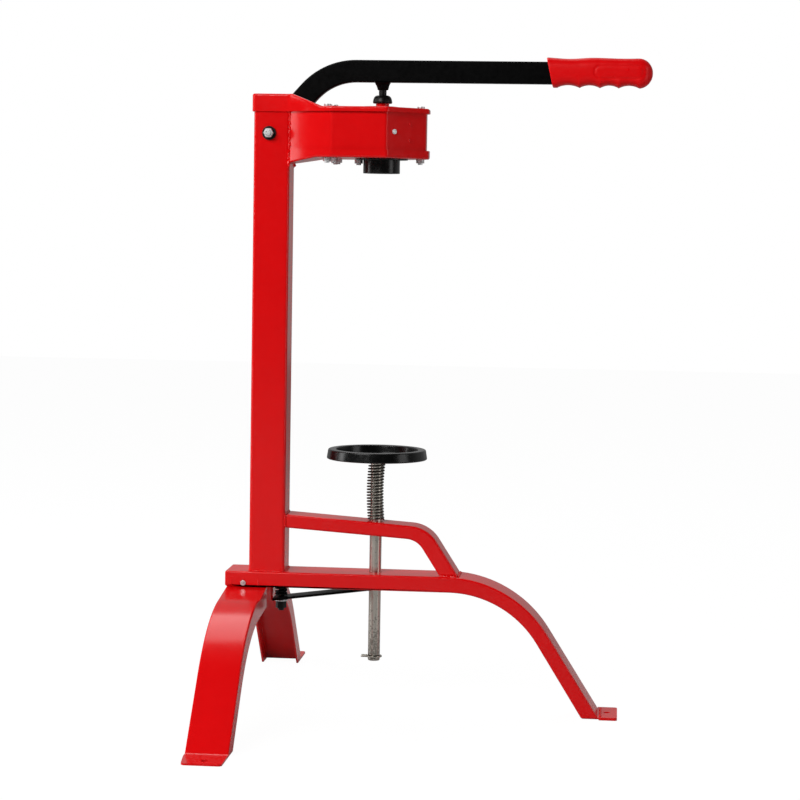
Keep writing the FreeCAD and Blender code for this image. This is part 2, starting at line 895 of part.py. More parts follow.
def make_tray():
    plan = tray_plan()
    low = s.floor_bottom - 2 * s.tray_drop
    shell = common("tray_outer", prism("tray_plan_outer", "XY", plan, low, tray_rim_top),
                   over_tray("tray_side_outer", 0))
    hollow = common("tray_inner", prism("tray_plan_inner", "XY", inset(plan, s.cover_sheet),
                                        low, tray_rim_top),
                    over_tray("tray_side_inner", s.floor_sheet))
    hole = rod("tray_neck_hole", s.neck_hole_radius, s.floor_bottom - 1, head_floor + 1)
    below, above = s.floor_bottom - s.tray_drop / 2, head_floor + s.floor_sheet
    back_half = s.column_side / 2 + s.lip - s.cover_sheet
    back = block("tray_back", (column_front - 1, column_front + 2 * s.cover_sheet), (-back_half, back_half),
                 (head_floor, tray_rim_top + 1))
    tools = [hollow, hole, back] + bolt_holes("tray_bolt_hole", below, above)
    for centre in guide_bolt_centres():
        tools.append(rod("guide_bolt_hole", s.bolt_radius + s.seated, below, above, centre))
    piece(cut("tray_holed", shell, tools), "head_tray")


# Parts that lie along the slanted front walls

def wall_outer():
    """The slanted wall's outer face, measured square to it from the plunger's axis."""
    return (s.head_half + s.shoulder_reach) * HALF_ROOT


def seat_outer():
    return wall_outer() - s.head_wall


def slanted(side, distance, across):
    """A point in plan from its distance square to a slanted wall and its place along it."""
    return (across + distance) * HALF_ROOT, (distance - across) * HALF_ROOT * side


def slanted_rod(name, side, across, height, radius, start, end):
    thing = doc.addObject("Part::Cylinder", name)
    bind(thing, "Radius", radius)
    bind(thing, "Height", as_size(end) - start)
    x, y = slanted(side, start, across)
    thing.Placement = Placement(Vector(), Rotation(Vector(0, 0, 1), 45 * side) * TURNS["x"])
    place(thing, x, y, height)
    return thing


def seat_fixings():
    """Place along the wall, height and radius of each screw and pin."""
    middle = head_floor + s.seat_screw_rise
    return [
        (s.seat_screw_along, middle, s.seat_screw_radius),
        (s.seat_pin_along, middle + s.seat_pin_drop, s.seat_pin_radius),
        (s.seat_pin_along, middle - s.seat_pin_drop, s.seat_pin_radius),
    ]


def make_seats():
    depth = seat_outer() - s.seat_screw_radius * 3
    inner = s.jaw_side + s.jaw_fit
    for name, side in (("jaw_seat_near", -1), ("jaw_seat_far", 1)):
        corners = [(inner, -s.seat_low), (seat_outer(), -s.seat_low),
                   (seat_outer(), s.seat_high), (inner, s.seat_high)]
        outline = [corner(*slanted(side, distance, across)) for distance, across in corners]
        part = prism(name + "_bar", "XY", outline, head_floor, ceiling)
        tools = [slanted_rod("seat_hole", side, across, height, radius + s.seated,
                             depth - s.gap, seat_outer() + 1)
                 for across, height, radius in seat_fixings()]
        piece(cut(name + "_drilled", part, tools), name)
    screws, pins = [], []
    for side in (-1, 1):
        for across, height, radius in seat_fixings():
            large = radius is s.seat_screw_radius
            head = s.seat_screw_head if large else s.seat_pin_head
            steps = [slanted_rod("fixing_shank", side, across, height, radius, depth, wall_outer() + s.seated),
                     slanted_rod("fixing_head", side, across, height, head,
                                 wall_outer(), wall_outer() + head / 2)]
            (screws if large else pins).append(fused("fixing", steps))
    piece(group("seat_screw_pair", screws), "seat_screws")
    piece(group("seat_pin_set", pins), "seat_pins")


# Jaws: four blocks that meet round the bore

def jaw_outline(direction):
    """A square block in plan, its bore corner on the plunger's axis."""
    out = s.jaw_side * HALF_ROOT
    tip = s.jaw_chamfer
    ahead, aside = direction
    corners = [(as_size(0), as_size(0)), (out, -out), (2 * out - tip, -tip), (2 * out - tip, tip), (out, out)]
    return inset([corner(a * ahead - b * aside, a * aside + b * ahead) for a, b in corners], s.jaw_fit)


def make_jaw(name, direction):
    part = prism(name + "_block", "XY", jaw_outline(direction), jaw_low, jaw_high)
    bore(part, "XY", 0, 0, s.jaw_bore, jaw_low - 1, jaw_high + 1)
    lead = cone(name + "_lead", s.jaw_bore, s.jaw_bore + s.jaw_lead + 1, jaw_high - s.jaw_lead, jaw_high + 1)
    piece(cut(name + "_led", part, [lead]), name)


# Slider: a V yoke, a tongue, a thrust flange for the springs and ears for the cam's roller

def roller_x():
    return pivot_x + s.roller_arm


def make_slider():
    face = s.jaw_side + s.jaw_fit
    back = face + s.yoke_wall
    rim = [(-face, -face), (-face, s.yoke_arm), (-back, s.yoke_arm), (-back, -back)]

    def spot(along_p, along_q):
        return corner((along_p + along_q) * HALF_ROOT, (along_p - along_q) * HALF_ROOT)

    near = [spot(-back, -back), spot(-back, s.yoke_arm), spot(-face, s.yoke_arm), spot(-face, -face)]
    yoke = near + [spot(s.yoke_arm, -face), spot(s.yoke_arm, -back)]
    part = prism("slider_yoke", "XY", yoke, jaw_low, jaw_high)
    middle = (face + back) / 2
    apex = -2 * middle * HALF_ROOT
    low, high = pivot_height - s.tongue_height / 2, pivot_height + s.tongue_height / 2
    half, ear_in = s.tongue_half, s.roller_half + s.gap + s.running
    ear_out = ear_in + s.ear_wall
    rear = roller_x() - s.ear_tail
    plan = [
        corner(-s.thrust_front, -half), corner(apex + half, -half), corner(apex, 0),
        corner(apex + half, half), corner(-s.thrust_front, half), corner(-s.thrust_front, s.thrust_half),
        corner(-s.thrust_rear, s.thrust_half), corner(-s.thrust_rear, ear_out), corner(rear, ear_out),
        corner(rear, ear_in), corner(-s.thrust_rear, ear_in), corner(-s.thrust_rear, -ear_in),
        corner(rear, -ear_in), corner(rear, -ear_out), corner(-s.thrust_rear, -ear_out),
        corner(-s.thrust_rear, -s.thrust_half), corner(-s.thrust_front, -s.thrust_half),
    ]
    tongue = prism("slider_tongue", "XY", plan, low, high)
    hole = rod("slider_pin_hole", s.roller_pin_radius + s.seated, -ear_out - 1, ear_out + 1,
               (roller_x(), pivot_height), "y")
    piece(cut("slider_drilled", fused("slider_blank", [part, tongue]), [hole]), "jaw_slider")
    pin = rod("pin_shank", s.roller_pin_radius, -ear_out, ear_out, (roller_x(), pivot_height), "y")
    piece(pin, "roller_pin")
    piece(ring("roller_ring", s.roller_radius, s.roller_pin_radius + s.running, -s.roller_half,
               s.roller_half, (roller_x(), pivot_height), "y"), "cam_roller")


def make_spring_posts():
    middle = (s.post_front + s.post_rear) / 2
    posts = []
    for side in (-1, 1):
        low, high = s.post_half * side - s.post_width / 2, s.post_half * side + s.post_width / 2
        blank = block("post_blank", (-s.post_rear, -s.post_front), (low, high), (head_floor, ceiling))
        hole = rod("post_hole", s.bolt_radius + s.seated, head_floor - 1, ceiling + 1,
                   (-middle, s.post_half * side))
        posts.append(cut("post", blank, [hole]))
    piece(group("post_pair", posts), "spring_posts")


def make_slider_springs():
    springs = []
    for side in (-1, 1):
        springs.append(ring("thrust_spring", s.spring_radius, s.spring_radius - s.spring_wire,
                            -s.thrust_front + s.seated, -s.post_rear - s.seated,
                            (s.post_half * side, pivot_height), "x"))
    piece(group("thrust_spring_pair", springs), "slider_springs")


def make_head_bolts():
    bolts, nuts, sleeves = [], [], []
    for index, centre in enumerate(head_bolt_centres()):
        end = s.floor_bottom - s.nut_height - s.bolt_end
        steps = [rod("bolt_shank", s.bolt_radius, end, cover_top + s.seated, centre),
                 rod("bolt_head", s.bolt_head_radius, cover_top, cover_top + s.bolt_head_height, centre)]
        bolts.append(fused("bolt", steps))
        blank = hexagon("nut_blank", s.nut_radius, s.floor_bottom - s.nut_height, s.floor_bottom, centre)
        nuts.append(cut("nut", blank, [rod("nut_bore", s.bolt_radius + s.seated, end, s.floor_bottom, centre)]))
        if index not in (2, 3):
            sleeves.append(ring("sleeve", s.sleeve_radius, s.bolt_radius + s.seated, head_floor, ceiling, centre))
    piece(group("head_bolt_set", bolts), "head_bolts")
    piece(group("head_nut_set", nuts), "head_nuts")
    piece(group("head_sleeve_set", sleeves), "head_sleeves")


# Neck guide: a flanged ring under the tray

def guide_bolt_centres():
    far = s.guide_bolt_ring
    return [(-far, as_size(0)), (far / 4, far * math.sqrt(15) / 4)]


def make_neck_guide():
    low = s.floor_bottom - s.guide_height
    part = turned("guide_ring", [
        corner(s.guide_bore, low), corner(s.guide_radius, low),
        corner(s.guide_radius, s.floor_bottom - s.guide_flange),
        corner(s.guide_flange_radius, s.floor_bottom - s.guide_flange),
        corner(s.guide_flange_radius, s.floor_bottom), corner(s.guide_bore, s.floor_bottom),
    ])
    below = s.floor_bottom - s.guide_flange
    holes = [rod("guide_hole", s.bolt_radius + s.seated, below - 1, s.floor_bottom + 1, centre)
             for centre in guide_bolt_centres()]
    piece(cut("guide_drilled", part, holes), "neck_guide")
    bolts, nuts = [], []
    for centre in guide_bolt_centres():
        end = below - s.nut_height - s.bolt_end
        bolts.append(rod("guide_bolt", s.bolt_radius, end, head_floor, centre))
        blank = hexagon("guide_nut_blank", s.nut_radius, below - s.nut_height, below, centre)
        nuts.append(cut("guide_nut", blank, [rod("guide_nut_bore", s.bolt_radius + s.seated, end, below, centre)]))
    piece(group("guide_bolt_pair", bolts), "guide_bolts")
    piece(group("guide_nut_pair", nuts), "guide_nuts")


# Lever: a bent flat bar on its pivot bolt, with cam cheeks, plunger and grip

def bar_outline():
    """The bar in side view: round end about the pivot, one bend, level hand arm."""
    run, rise, length = bar_direction()
    half = s.bar_height / 2
    back_x = pivot_x - half * run / length
    back_z = pivot_height - half * rise / length
    centre_line = [
        corner(back_x, back_z),
        corner(-s.bar_bend_reach, bar_level, s.bar_bend_radius),
        corner(bar_reach, bar_level),
    ]
    under = shifted(centre_line, -half)
    over = shifted(centre_line, half)
    end_radius = half - s.seated
    under[0] = corner(under[0][0], under[0][1], end_radius)
    over[0] = corner(over[0][0], over[0][1], end_radius)
    return under + over[::-1]


def make_bar():
    part = prism("bar", "XZ", bar_outline(), -s.bar_half, s.bar_half)
    bore(part, "XZ", pivot_x, pivot_height, s.bush_radius + s.seated, -s.bar_half - 1, s.bar_half + 1)
    piece(part, "lever_bar")
    centre = (pivot_x, pivot_height)
    piece(ring("bush_ring", s.bush_radius, s.pivot_radius + s.running, -s.bar_half, s.bar_half, centre, "y"),
          "lever_bush")


def cam_face():
    """The cam's outline about the pivot: a roller's envelope whose pitch line grows evenly with
    the angle, so that each degree of lever travel moves the slider by the same amount."""
    first, last, steps = math.radians(-SIZES["lever_lift"] - 6), math.radians(6), 16
    edge = []
    for step in range(steps + 1):
        angle = first + (last - first) * step / steps
        reach = SIZES["roller_arm"] + SIZES["cam_rate"] * angle
        outward = Vector(math.cos(angle), 0, math.sin(angle))
        sideways = Vector(-math.sin(angle), 0, math.cos(angle))
        tangent = (outward * SIZES["cam_rate"] + sideways * reach).normalize()
        inward = Vector(-tangent.z, 0, tangent.x)
        edge.append(outward * reach + inward * (SIZES["roller_radius"] + SIZES["running"]))
    curve = Part.BSplineCurve()
    curve.interpolate(edge)
    hub = SIZES["cheek_hub"] * 0.9
    closing = [edge[-1]]
    for degrees in (75, 165, 255):
        closing.append(Vector(hub * math.cos(math.radians(degrees)), 0, hub * math.sin(math.radians(degrees))))
    closing.append(edge[0])
    sides = [Part.LineSegment(a, b).toShape() for a, b in zip(closing, closing[1:])]
    return Part.Face(Part.Wire([curve.toShape()] + sides))


def make_cheeks():
    near_side, far_side = SIZES["bar_half"], SIZES["bar_half"] + SIZES["cheek_sheet"]
    for name, start in (("cam_cheek_near", -far_side), ("cam_cheek_far", near_side)):
        thickness = SIZES["cheek_sheet"]
        lobe = cam_face().extrude(Vector(0, thickness, 0))
        hub = Part.makeCylinder(SIZES["cheek_hub"], thickness, Vector(), Vector(0, 1, 0))
        hole = Part.makeCylinder(SIZES["pivot_radius"] + SIZES["running"], thickness, Vector(), Vector(0, 1, 0))
        cheek = doc.addObject("Part::Feature", name + "_plate")
        cheek.Shape = lobe.fuse(hub).cut(hole).removeSplitter()
        place(cheek, pivot_x, start, pivot_height)
        piece(cheek, name)


def make_pivot():
    half = s.column_side / 2
    centre = (pivot_x, pivot_height)
    washer = half + s.washer_sheet
    nut_end = washer + s.pivot_nut_height
    shank = rod("pivot_shank", s.pivot_radius, -nut_end - s.bolt_end, washer + s.seated, centre, "y")
    head = hexagon("pivot_head", s.pivot_nut_radius, washer, washer + s.pivot_head_height, centre, "y")
    piece(fused("pivot_bolt_blank", [shank, head]), "pivot_bolt")
    nut = hexagon("pivot_nut_blank", s.pivot_nut_radius, -nut_end, -washer, centre, "y")
    nut_bore = rod("pivot_nut_bore", s.pivot_radius + s.seated, -nut_end, -washer, centre, "y")
    piece(cut("pivot_nut_cut", nut, [nut_bore]), "pivot_nut")
    washers, spacers = [], []
    cheek = s.bar_half + s.cheek_sheet + s.seated
    inside = half - s.column_wall - s.seated
    for side in (-1, 1):
        low, high = (half, washer) if side > 0 else (-washer, -half)
        washers.append(ring("pivot_washer", s.washer_radius, s.pivot_radius + s.running, low, high, centre, "y"))
        low, high = (cheek, inside) if side > 0 else (-inside, -cheek)
        spacers.append(ring("pivot_spacer", s.bush_radius + s.gap, s.pivot_radius + s.running,
                            low, high, centre, "y"))
    piece(group("pivot_washer_pair", washers), "pivot_washers")
    piece(group("pivot_spacer_pair", spacers), "pivot_spacers")


def make_plunger():
    underside = bar_level - s.bar_height / 2
    piece(rod("plunger_shank", s.plunger_radius, s.floor_bottom + s.plunger_tip_rise, underside), "plunger_rod")
    low = underside - s.funnel_height
    funnel = cone("funnel_blank", s.plunger_radius + 1, s.funnel_radius, low, underside)
    hole = rod("funnel_bore", s.plunger_radius + s.seated, low, underside)
    piece(cut("funnel_cut", funnel, [hole]), "plunger_socket")
    hollow = s.plunger_radius + s.seated
    nut_bottom = cover_top + s.gap
    nut_neck_top = nut_bottom + s.nut_neck_height
    crown = nut_neck_top + s.nut_crown_height
    piece(turned("depth_nut_turned", [
        corner(hollow, nut_bottom), corner(s.nut_neck_radius, nut_bottom),
        corner(s.nut_neck_radius, nut_neck_top), corner(s.nut_crown_radius, nut_neck_top),
        corner(s.nut_crown_radius, nut_neck_top + s.nut_rim),
        corner(s.plunger_radius + 3, crown), corner(hollow, crown),
    ]), "depth_nut")


def make_grip():
    """The grip's side view with its finger hollows, rounded across by a second outline."""
    low, high = bar_level - s.grip_under, bar_level + s.grip_over
    mouth = s.grip_reach - s.grip_length
    half_slant = s.grip_mouth_slant / 2
    side = [corner(mouth + half_slant, low)]
    for index in range(4):
        start = mouth + s.ridge_first + s.ridge_pitch * index
        side += [corner(start - s.ridge_half, low), corner(start, low + s.ridge_depth, s.ridge_bend),
                 corner(start + s.ridge_half, low)]
    side += [corner(s.grip_reach, low, s.grip_end_bend), corner(s.grip_reach, high, s.grip_end_bend),
             corner(mouth - half_slant, high)]
    profile = prism("grip_profile", "XZ", side, -s.grip_half, s.grip_half)
    rounding = s.grip_half - 2
    ends = [corner(-s.grip_half, low, rounding), corner(s.grip_half, low, rounding),
            corner(s.grip_half, high, rounding), corner(-s.grip_half, high, rounding)]
    section = prism("grip_section", "YZ", ends, mouth - s.grip_mouth_slant, s.grip_reach + 5)
    pocket_low, pocket_high = bar_level - s.bar_height / 2, bar_level + s.bar_height / 2
    hollow = block("grip_hollow", (mouth - s.grip_mouth_slant, bar_reach), (-s.bar_half, s.bar_half),
                   (pocket_low, pocket_high))
    piece(cut("grip_hollowed", common("grip_blank", profile, section), [hollow]), "lever_grip")


# Rest: dish on a rod, carried by a spring over the bracket and held by the lock plate

def make_rest():
    recess_floor = s.dish_bottom + s.dish_floor
    clip_height = s.rod_bottom + s.clip_rise
    hole = s.dish_screw_radius + s.seated
    top = s.dish_bottom + s.dish_height
    sunk = s.dish_screw_head + s.seated
    piece(turned("dish_turned", [
        corner(hole, s.dish_bottom), corner(s.dish_radius, s.dish_bottom, 1.2),
        corner(s.dish_rim_radius, top, 1.6), corner(s.dish_recess_radius + 1, top, 1.2),
        corner(s.dish_recess_radius, recess_floor), corner(sunk, recess_floor),
    ]), "rest_dish")
    piece(fused("dish_screw_blank", [
        rod("dish_screw_shank", s.dish_screw_radius, s.dish_bottom - s.dish_screw_depth, s.dish_bottom + s.seated),
        cone("dish_screw_top", s.dish_screw_radius, s.dish_screw_head, s.dish_bottom + s.seated, recess_floor),
    ]), "dish_screw")
    bar = rod("rest_bar", s.rod_radius, s.rod_bottom, s.dish_bottom)
    tapped = rod("rest_tapped", hole, s.dish_bottom - s.dish_screw_depth - 1, s.dish_bottom)
    groove_radius = s.rod_radius - s.clip_groove
    groove = ring("rest_groove", s.clip_radius, groove_radius, clip_height - s.seated,
                  clip_height + s.clip_sheet + s.seated)
    piece(cut("rest_bar_drilled", bar, [tapped, groove]), "rest_rod")
    make_clip(groove_radius + s.seated, clip_height)


def make_clip(inner, low):
    """An open snap ring in the rod's groove, with an ear each side of its gap."""
    high = low + s.clip_sheet
    band = rod("clip_band", s.clip_radius, low, high)
    ears = block("clip_ears", (-s.clip_ear_reach, 0), (-s.clip_ear_half, s.clip_ear_half), (low, high))
    bore_hole = rod("clip_bore", inner, low, high)
    gap = block("clip_gap", (-s.clip_ear_reach, 0), (-s.clip_gap_half, s.clip_gap_half), (low, high))
    piece(cut("clip_open", fused("clip_blank", [band, ears]), [bore_hole, gap]), "rod_clip")


def bracket_top_at_axis():
    slope = (s.bracket_tail_top - s.bracket_knee_top) / (s.bracket_knee_reach - column_front)
    return s.bracket_knee_top + slope * (s.bracket_knee_reach + s.rest_spring_radius)


def make_rest_spring():
    low = bracket_top_at_axis() + s.seated
    high = s.dish_bottom - s.seated
    wire = s.rest_spring_wire
    outer, inner = s.rest_spring_radius, s.rest_spring_radius - wire
    pitch = (high - low) / s.rest_spring_turns
    core = (outer - inner) / 4
    sleeve = ring("rest_spring_core", outer - core, inner + core, low, high)
    coils = [sleeve]
    for turn in range(int(SIZES["rest_spring_turns"])):
        start = low + pitch * turn + (pitch - wire) / 2
        coils.append(ring("rest_spring_turn", outer, inner, start, start + wire))
    piece(fused("rest_spring_coils", coils), "rest_spring")


# Lock plate: a sprung strip that binds on the rod

def lock_line(reach, lift=0):
    """Height of the strip's underside at a reach, plus a lift."""
    return base_bottom - s.lock_drop + s.lock_rise * reach + lift


def make_lock():
    tail, end = -s.lock_tail, s.lock_end
    path = [corner(tail, lock_line(tail)), corner(end, lock_line(end))]
    part = prism("lock_strip", "XZ", ribbon(path, s.lock_sheet), -s.lock_half, s.lock_half)
    span = (lock_line(tail) - s.lock_sheet, lock_line(end) + 2 * s.lock_sheet)
    bore(part, "XY", 0, 0, s.lock_hole, *span)
    bore(part, "XY", -s.lock_bolt_reach, 0, s.lock_bolt_hole, *span)
    bore(part, "XY", s.fulcrum_reach, 0, s.fulcrum_radius + s.gap * 2, *span)
    piece(part, "lock_plate")
    centre = (-s.lock_bolt_reach, 0)
    inside = base_bottom + s.base_wall
    piece(fused("lock_bolt_blank", [
        rod("lock_bolt_shank", s.lock_bolt_radius, base_bottom - s.lock_bolt_length, inside + s.seated, centre),
        hexagon("lock_bolt_head", s.lock_nut_radius, inside, inside + s.lock_nut_height / 2, centre),
    ]), "lock_bolt")
    low_edge = lock_line(-s.lock_bolt_reach) - s.lock_rise * (s.lock_nut_radius + 1) - s.seated
    washer_low = low_edge - s.washer_sheet
    nut_low = washer_low - s.lock_nut_height
    piece(ring("lock_washer_ring", s.lock_nut_radius + 1, s.lock_bolt_radius + s.running,
               washer_low, low_edge, centre), "lock_washer")
    nut = hexagon("lock_nut_blank", s.lock_nut_radius, nut_low, washer_low, centre)
    nut_bore = rod("lock_nut_bore", s.lock_bolt_radius + s.seated, nut_low, washer_low, centre)
    piece(cut("lock_nut_cut", nut, [nut_bore]), "lock_nut")
    spring_low = lock_line(-s.lock_bolt_reach, s.lock_sheet) + s.lock_rise * s.lock_spring_radius + s.gap / 2
    piece(ring("lock_spring_ring", s.lock_spring_radius, s.lock_spring_radius - s.lock_spring_wire,
               spring_low, base_bottom - s.seated, centre), "lock_spring")
    centre = (s.fulcrum_reach, 0)
    piece(fused("fulcrum_blank", [
        rod("fulcrum_shank", s.fulcrum_radius, base_bottom - s.seated,
            s.base_top - s.base_wall - s.gap, centre),
        rod("fulcrum_top", s.fulcrum_head, base_bottom - s.fulcrum_head_height, base_bottom, centre),
    ]), "fulcrum_screw")


make_column()
make_base()
make_front_foot()
make_bracket()
make_leg("rear_leg_near", -1)
make_leg("rear_leg_far", 1)
make_leg_rivets()
make_walls()
make_cover()
make_tray()
make_seats()
for jaw_name, jaw_direction in (("jaw_front", (1, 0)), ("jaw_near", (0, -1)),
                                ("jaw_far", (0, 1)), ("jaw_rear", (-1, 0))):
    make_jaw(jaw_name, jaw_direction)
make_slider()
make_spring_posts()
make_slider_springs()
make_head_bolts()
make_neck_guide()
make_bar()
make_cheeks()
make_pivot()
make_plunger()
make_grip()
make_rest()
make_rest_spring()
make_lock()
doc.recompute()

faults = [item.Label for item in doc.Objects if "Invalid" in item.State or "Error" in item.State]
for name, item in parts.items():
    if item.Shape.isNull() or not item.Shape.isValid() or not item.Shape.Solids:
        faults.append(name)
if faults:
    raise RuntimeError("these objects failed: " + ", ".join(faults))

os.makedirs("parts", exist_ok=True)
for name, item in parts.items():
    item.Shape.exportStep("parts/" + name + ".step")
print(len(parts), "sub-parts written")
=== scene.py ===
import json
import math

import bmesh
import bpy
from mathutils import Matrix, Vector, noise

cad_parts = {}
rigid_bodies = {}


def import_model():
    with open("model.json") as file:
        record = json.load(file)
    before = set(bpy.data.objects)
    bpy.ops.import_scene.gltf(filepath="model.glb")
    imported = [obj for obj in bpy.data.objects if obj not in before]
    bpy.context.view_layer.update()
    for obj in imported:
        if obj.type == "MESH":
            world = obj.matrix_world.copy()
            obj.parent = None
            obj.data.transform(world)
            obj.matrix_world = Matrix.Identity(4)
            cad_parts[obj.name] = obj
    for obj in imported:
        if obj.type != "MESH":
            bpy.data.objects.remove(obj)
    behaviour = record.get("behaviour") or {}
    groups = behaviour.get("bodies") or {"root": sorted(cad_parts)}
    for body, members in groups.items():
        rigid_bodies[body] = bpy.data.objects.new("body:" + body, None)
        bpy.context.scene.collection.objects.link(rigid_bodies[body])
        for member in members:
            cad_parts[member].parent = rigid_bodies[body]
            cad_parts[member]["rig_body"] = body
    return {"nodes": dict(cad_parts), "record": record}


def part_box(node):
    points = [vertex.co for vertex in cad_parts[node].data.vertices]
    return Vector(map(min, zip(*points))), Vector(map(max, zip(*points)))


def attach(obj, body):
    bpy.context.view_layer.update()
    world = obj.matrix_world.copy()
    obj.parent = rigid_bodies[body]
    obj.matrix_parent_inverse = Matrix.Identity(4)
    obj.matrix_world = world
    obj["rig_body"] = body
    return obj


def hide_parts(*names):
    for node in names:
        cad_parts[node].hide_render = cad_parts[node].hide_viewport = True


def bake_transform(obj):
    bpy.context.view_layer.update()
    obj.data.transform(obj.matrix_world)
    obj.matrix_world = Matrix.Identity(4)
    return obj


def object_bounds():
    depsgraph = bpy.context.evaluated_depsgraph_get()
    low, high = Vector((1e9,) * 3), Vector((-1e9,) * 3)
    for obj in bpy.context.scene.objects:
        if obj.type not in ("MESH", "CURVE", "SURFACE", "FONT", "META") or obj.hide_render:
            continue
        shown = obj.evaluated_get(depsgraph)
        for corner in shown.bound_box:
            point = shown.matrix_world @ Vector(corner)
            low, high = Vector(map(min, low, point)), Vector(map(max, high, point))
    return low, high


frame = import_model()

# Floor-standing lever corker: red powder-coated frame, black hand lever with a red moulded grip,
# a plunger through the head, and a sprung rest on a steel rod. Lengths below are in metres.

MM = 0.001
cad_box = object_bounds()
nodes = frame["nodes"]
scene = bpy.context.scene
slot_of = {part["node"]: part["material_slot"] for part in frame["record"]["subparts"]}


# Places read from the frame

def middle(node):
    low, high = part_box(node)
    return (low + high) / 2


axis_x = middle("plunger_rod").x
column_low, column_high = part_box("column")
beam_low, beam_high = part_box("base_beam")
head_low, head_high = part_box("head_wall_near")


# Colours and materials

def colour(code):
    """An sRGB hex colour as linear red, green, blue and alpha."""
    parts = [int(code[at:at + 2], 16) / 255 for at in (0, 2, 4)]
    return [p / 12.92 if p <= 0.04045 else ((p + 0.055) / 1.055) ** 2.4 for p in parts] + [1]


def add(tree, kind, inputs=None, **settings):
    """Adds a node with its settings; each input is a plain value or the socket that feeds it."""
    made = tree.nodes.new(kind)
    for key, value in settings.items():
        setattr(made, key, value)
    for key, value in (inputs or {}).items():
        if isinstance(value, bpy.types.NodeSocket):
            tree.links.new(value, made.inputs[key])
        else:
            made.inputs[key].default_value = value
    return made


def per_mm(size):
    """A pattern's scale from the real size of its marks in millimetres."""
    return 1 / (size * MM)


def new_surface(name):
    made = bpy.data.materials.new(name)
    made.use_nodes = True
    tree = made.node_tree
    tree.nodes.clear()
    return made, tree, add(tree, "ShaderNodeTexCoord").outputs["Object"]


def varied(tree, place, size, low, high, detail=3, stretch=None):
    """A number or colour that drifts between two values in marks of a given size."""
    if stretch:
        place = add(tree, "ShaderNodeMapping", {"Vector": place, "Scale": stretch}).outputs[0]
    cloud = add(tree, "ShaderNodeTexNoise", {"Vector": place, "Scale": per_mm(size), "Detail": detail})
    if isinstance(low, str):
        ramp = add(tree, "ShaderNodeMix", {"Factor": cloud.outputs["Fac"]}, data_type="RGBA")
        ramp.inputs[6].default_value = colour(low)
        ramp.inputs[7].default_value = colour(high)
        return ramp.outputs[2]
    ramp = add(tree, "ShaderNodeMapRange", {"Value": cloud.outputs["Fac"], "To Min": low, "To Max": high})
    ramp.inputs["From Min"].default_value = 0.3
    ramp.inputs["From Max"].default_value = 0.7
    return ramp.outputs[0]


def raised(tree, height, depth, under=None):
    """A bump of a given depth in millimetres over an earlier one."""
    inputs = {"Height": height, "Distance": depth * MM, "Strength": 1.0}
    if under is not None:
        inputs["Normal"] = under
    return add(tree, "ShaderNodeBump", inputs).outputs[0]


def finished(made, tree, inputs):
    shader = add(tree, "ShaderNodeBsdfPrincipled", inputs)
    add(tree, "ShaderNodeOutputMaterial", {"Surface": shader.outputs[0]})
    return made


def powder_coat(name, low, high, rough, peel_depth, bend_of_light):
    """Baked powder paint: even deep colour, and a faint orange peel that softens every reflection."""
    made, tree, place = new_surface(name)
    peel = varied(tree, place, 1.6, 0.0, 1.0, 1)
    slow = varied(tree, place, 9, 0.0, 1.0, 1)
    bumps = raised(tree, peel, peel_depth, raised(tree, slow, peel_depth * 2))
    return finished(made, tree, {
        "Base Color": varied(tree, place, 24, low, high),
        "Roughness": varied(tree, place, 5, rough * 0.85, rough * 1.2),
        "IOR": bend_of_light, "Normal": bumps})


def moulded_plastic(name, low, high, rough, grain, grain_depth, bend_of_light=1.4):
    """Injection-moulded plastic: a fine eroded grain and slow changes of gloss."""
    made, tree, place = new_surface(name)
    fine = varied(tree, place, grain, 0.0, 1.0, 2)
    return finished(made, tree, {
        "Base Color": varied(tree, place, 12, low, high),
        "Roughness": varied(tree, place, 4, rough * 0.8, rough * 1.2),
        "IOR": bend_of_light, "Normal": raised(tree, fine, grain_depth)})


def drawn_steel(name, low, high, rough, stretch=(1, 1, 0.04), spots=None):
    """Cold-drawn steel: fine lines along its length and, on the rod, oil stains at one height."""
    made, tree, place = new_surface(name)
    lines = varied(tree, place, 0.7, 0.0, 1.0, 4, stretch)
    base = varied(tree, place, 0.9, low, high, 5, stretch)
    if spots:
        height, reach, tone = spots
        split = add(tree, "ShaderNodeSeparateXYZ", {0: place})
        fade = add(tree, "ShaderNodeMapRange", {"Value": split.outputs["Z"], "From Min": height,
                                                "From Max": height + reach, "To Min": 0.62, "To Max": 0.35})
        cloud = add(tree, "ShaderNodeTexNoise", {"Vector": place, "Scale": per_mm(2.2), "Detail": 5})
        stain = add(tree, "ShaderNodeMath", {0: cloud.outputs["Fac"], 1: fade.outputs[0]},
                    operation="LESS_THAN")
        blend = add(tree, "ShaderNodeMath", {0: stain.outputs[0], 1: 0.45}, operation="MULTIPLY")
        mixed = add(tree, "ShaderNodeMix", {"Factor": blend.outputs[0], 6: base}, data_type="RGBA")
        mixed.inputs[7].default_value = colour(tone)
        base = mixed.outputs[2]
    return finished(made, tree, {
        "Base Color": base, "Metallic": 1.0,
        "Roughness": varied(tree, place, 1.2, rough * 0.8, rough * 1.3, 3, stretch),
        "Normal": raised(tree, lines, 0.008)})


def plated_steel(name, low, high, rough, metallic=1.0):
    """Plated or blackened steel: a faintly cloudy skin over turned metal."""
    made, tree, place = new_surface(name)
    return finished(made, tree, {
        "Base Color": varied(tree, place, 1.4, low, high, 3), "Metallic": metallic,
        "Roughness": varied(tree, place, 1.1, rough * 0.8, rough * 1.25, 3),
        "Normal": raised(tree, varied(tree, place, 0.5, 0.0, 1.0, 2), 0.004)})


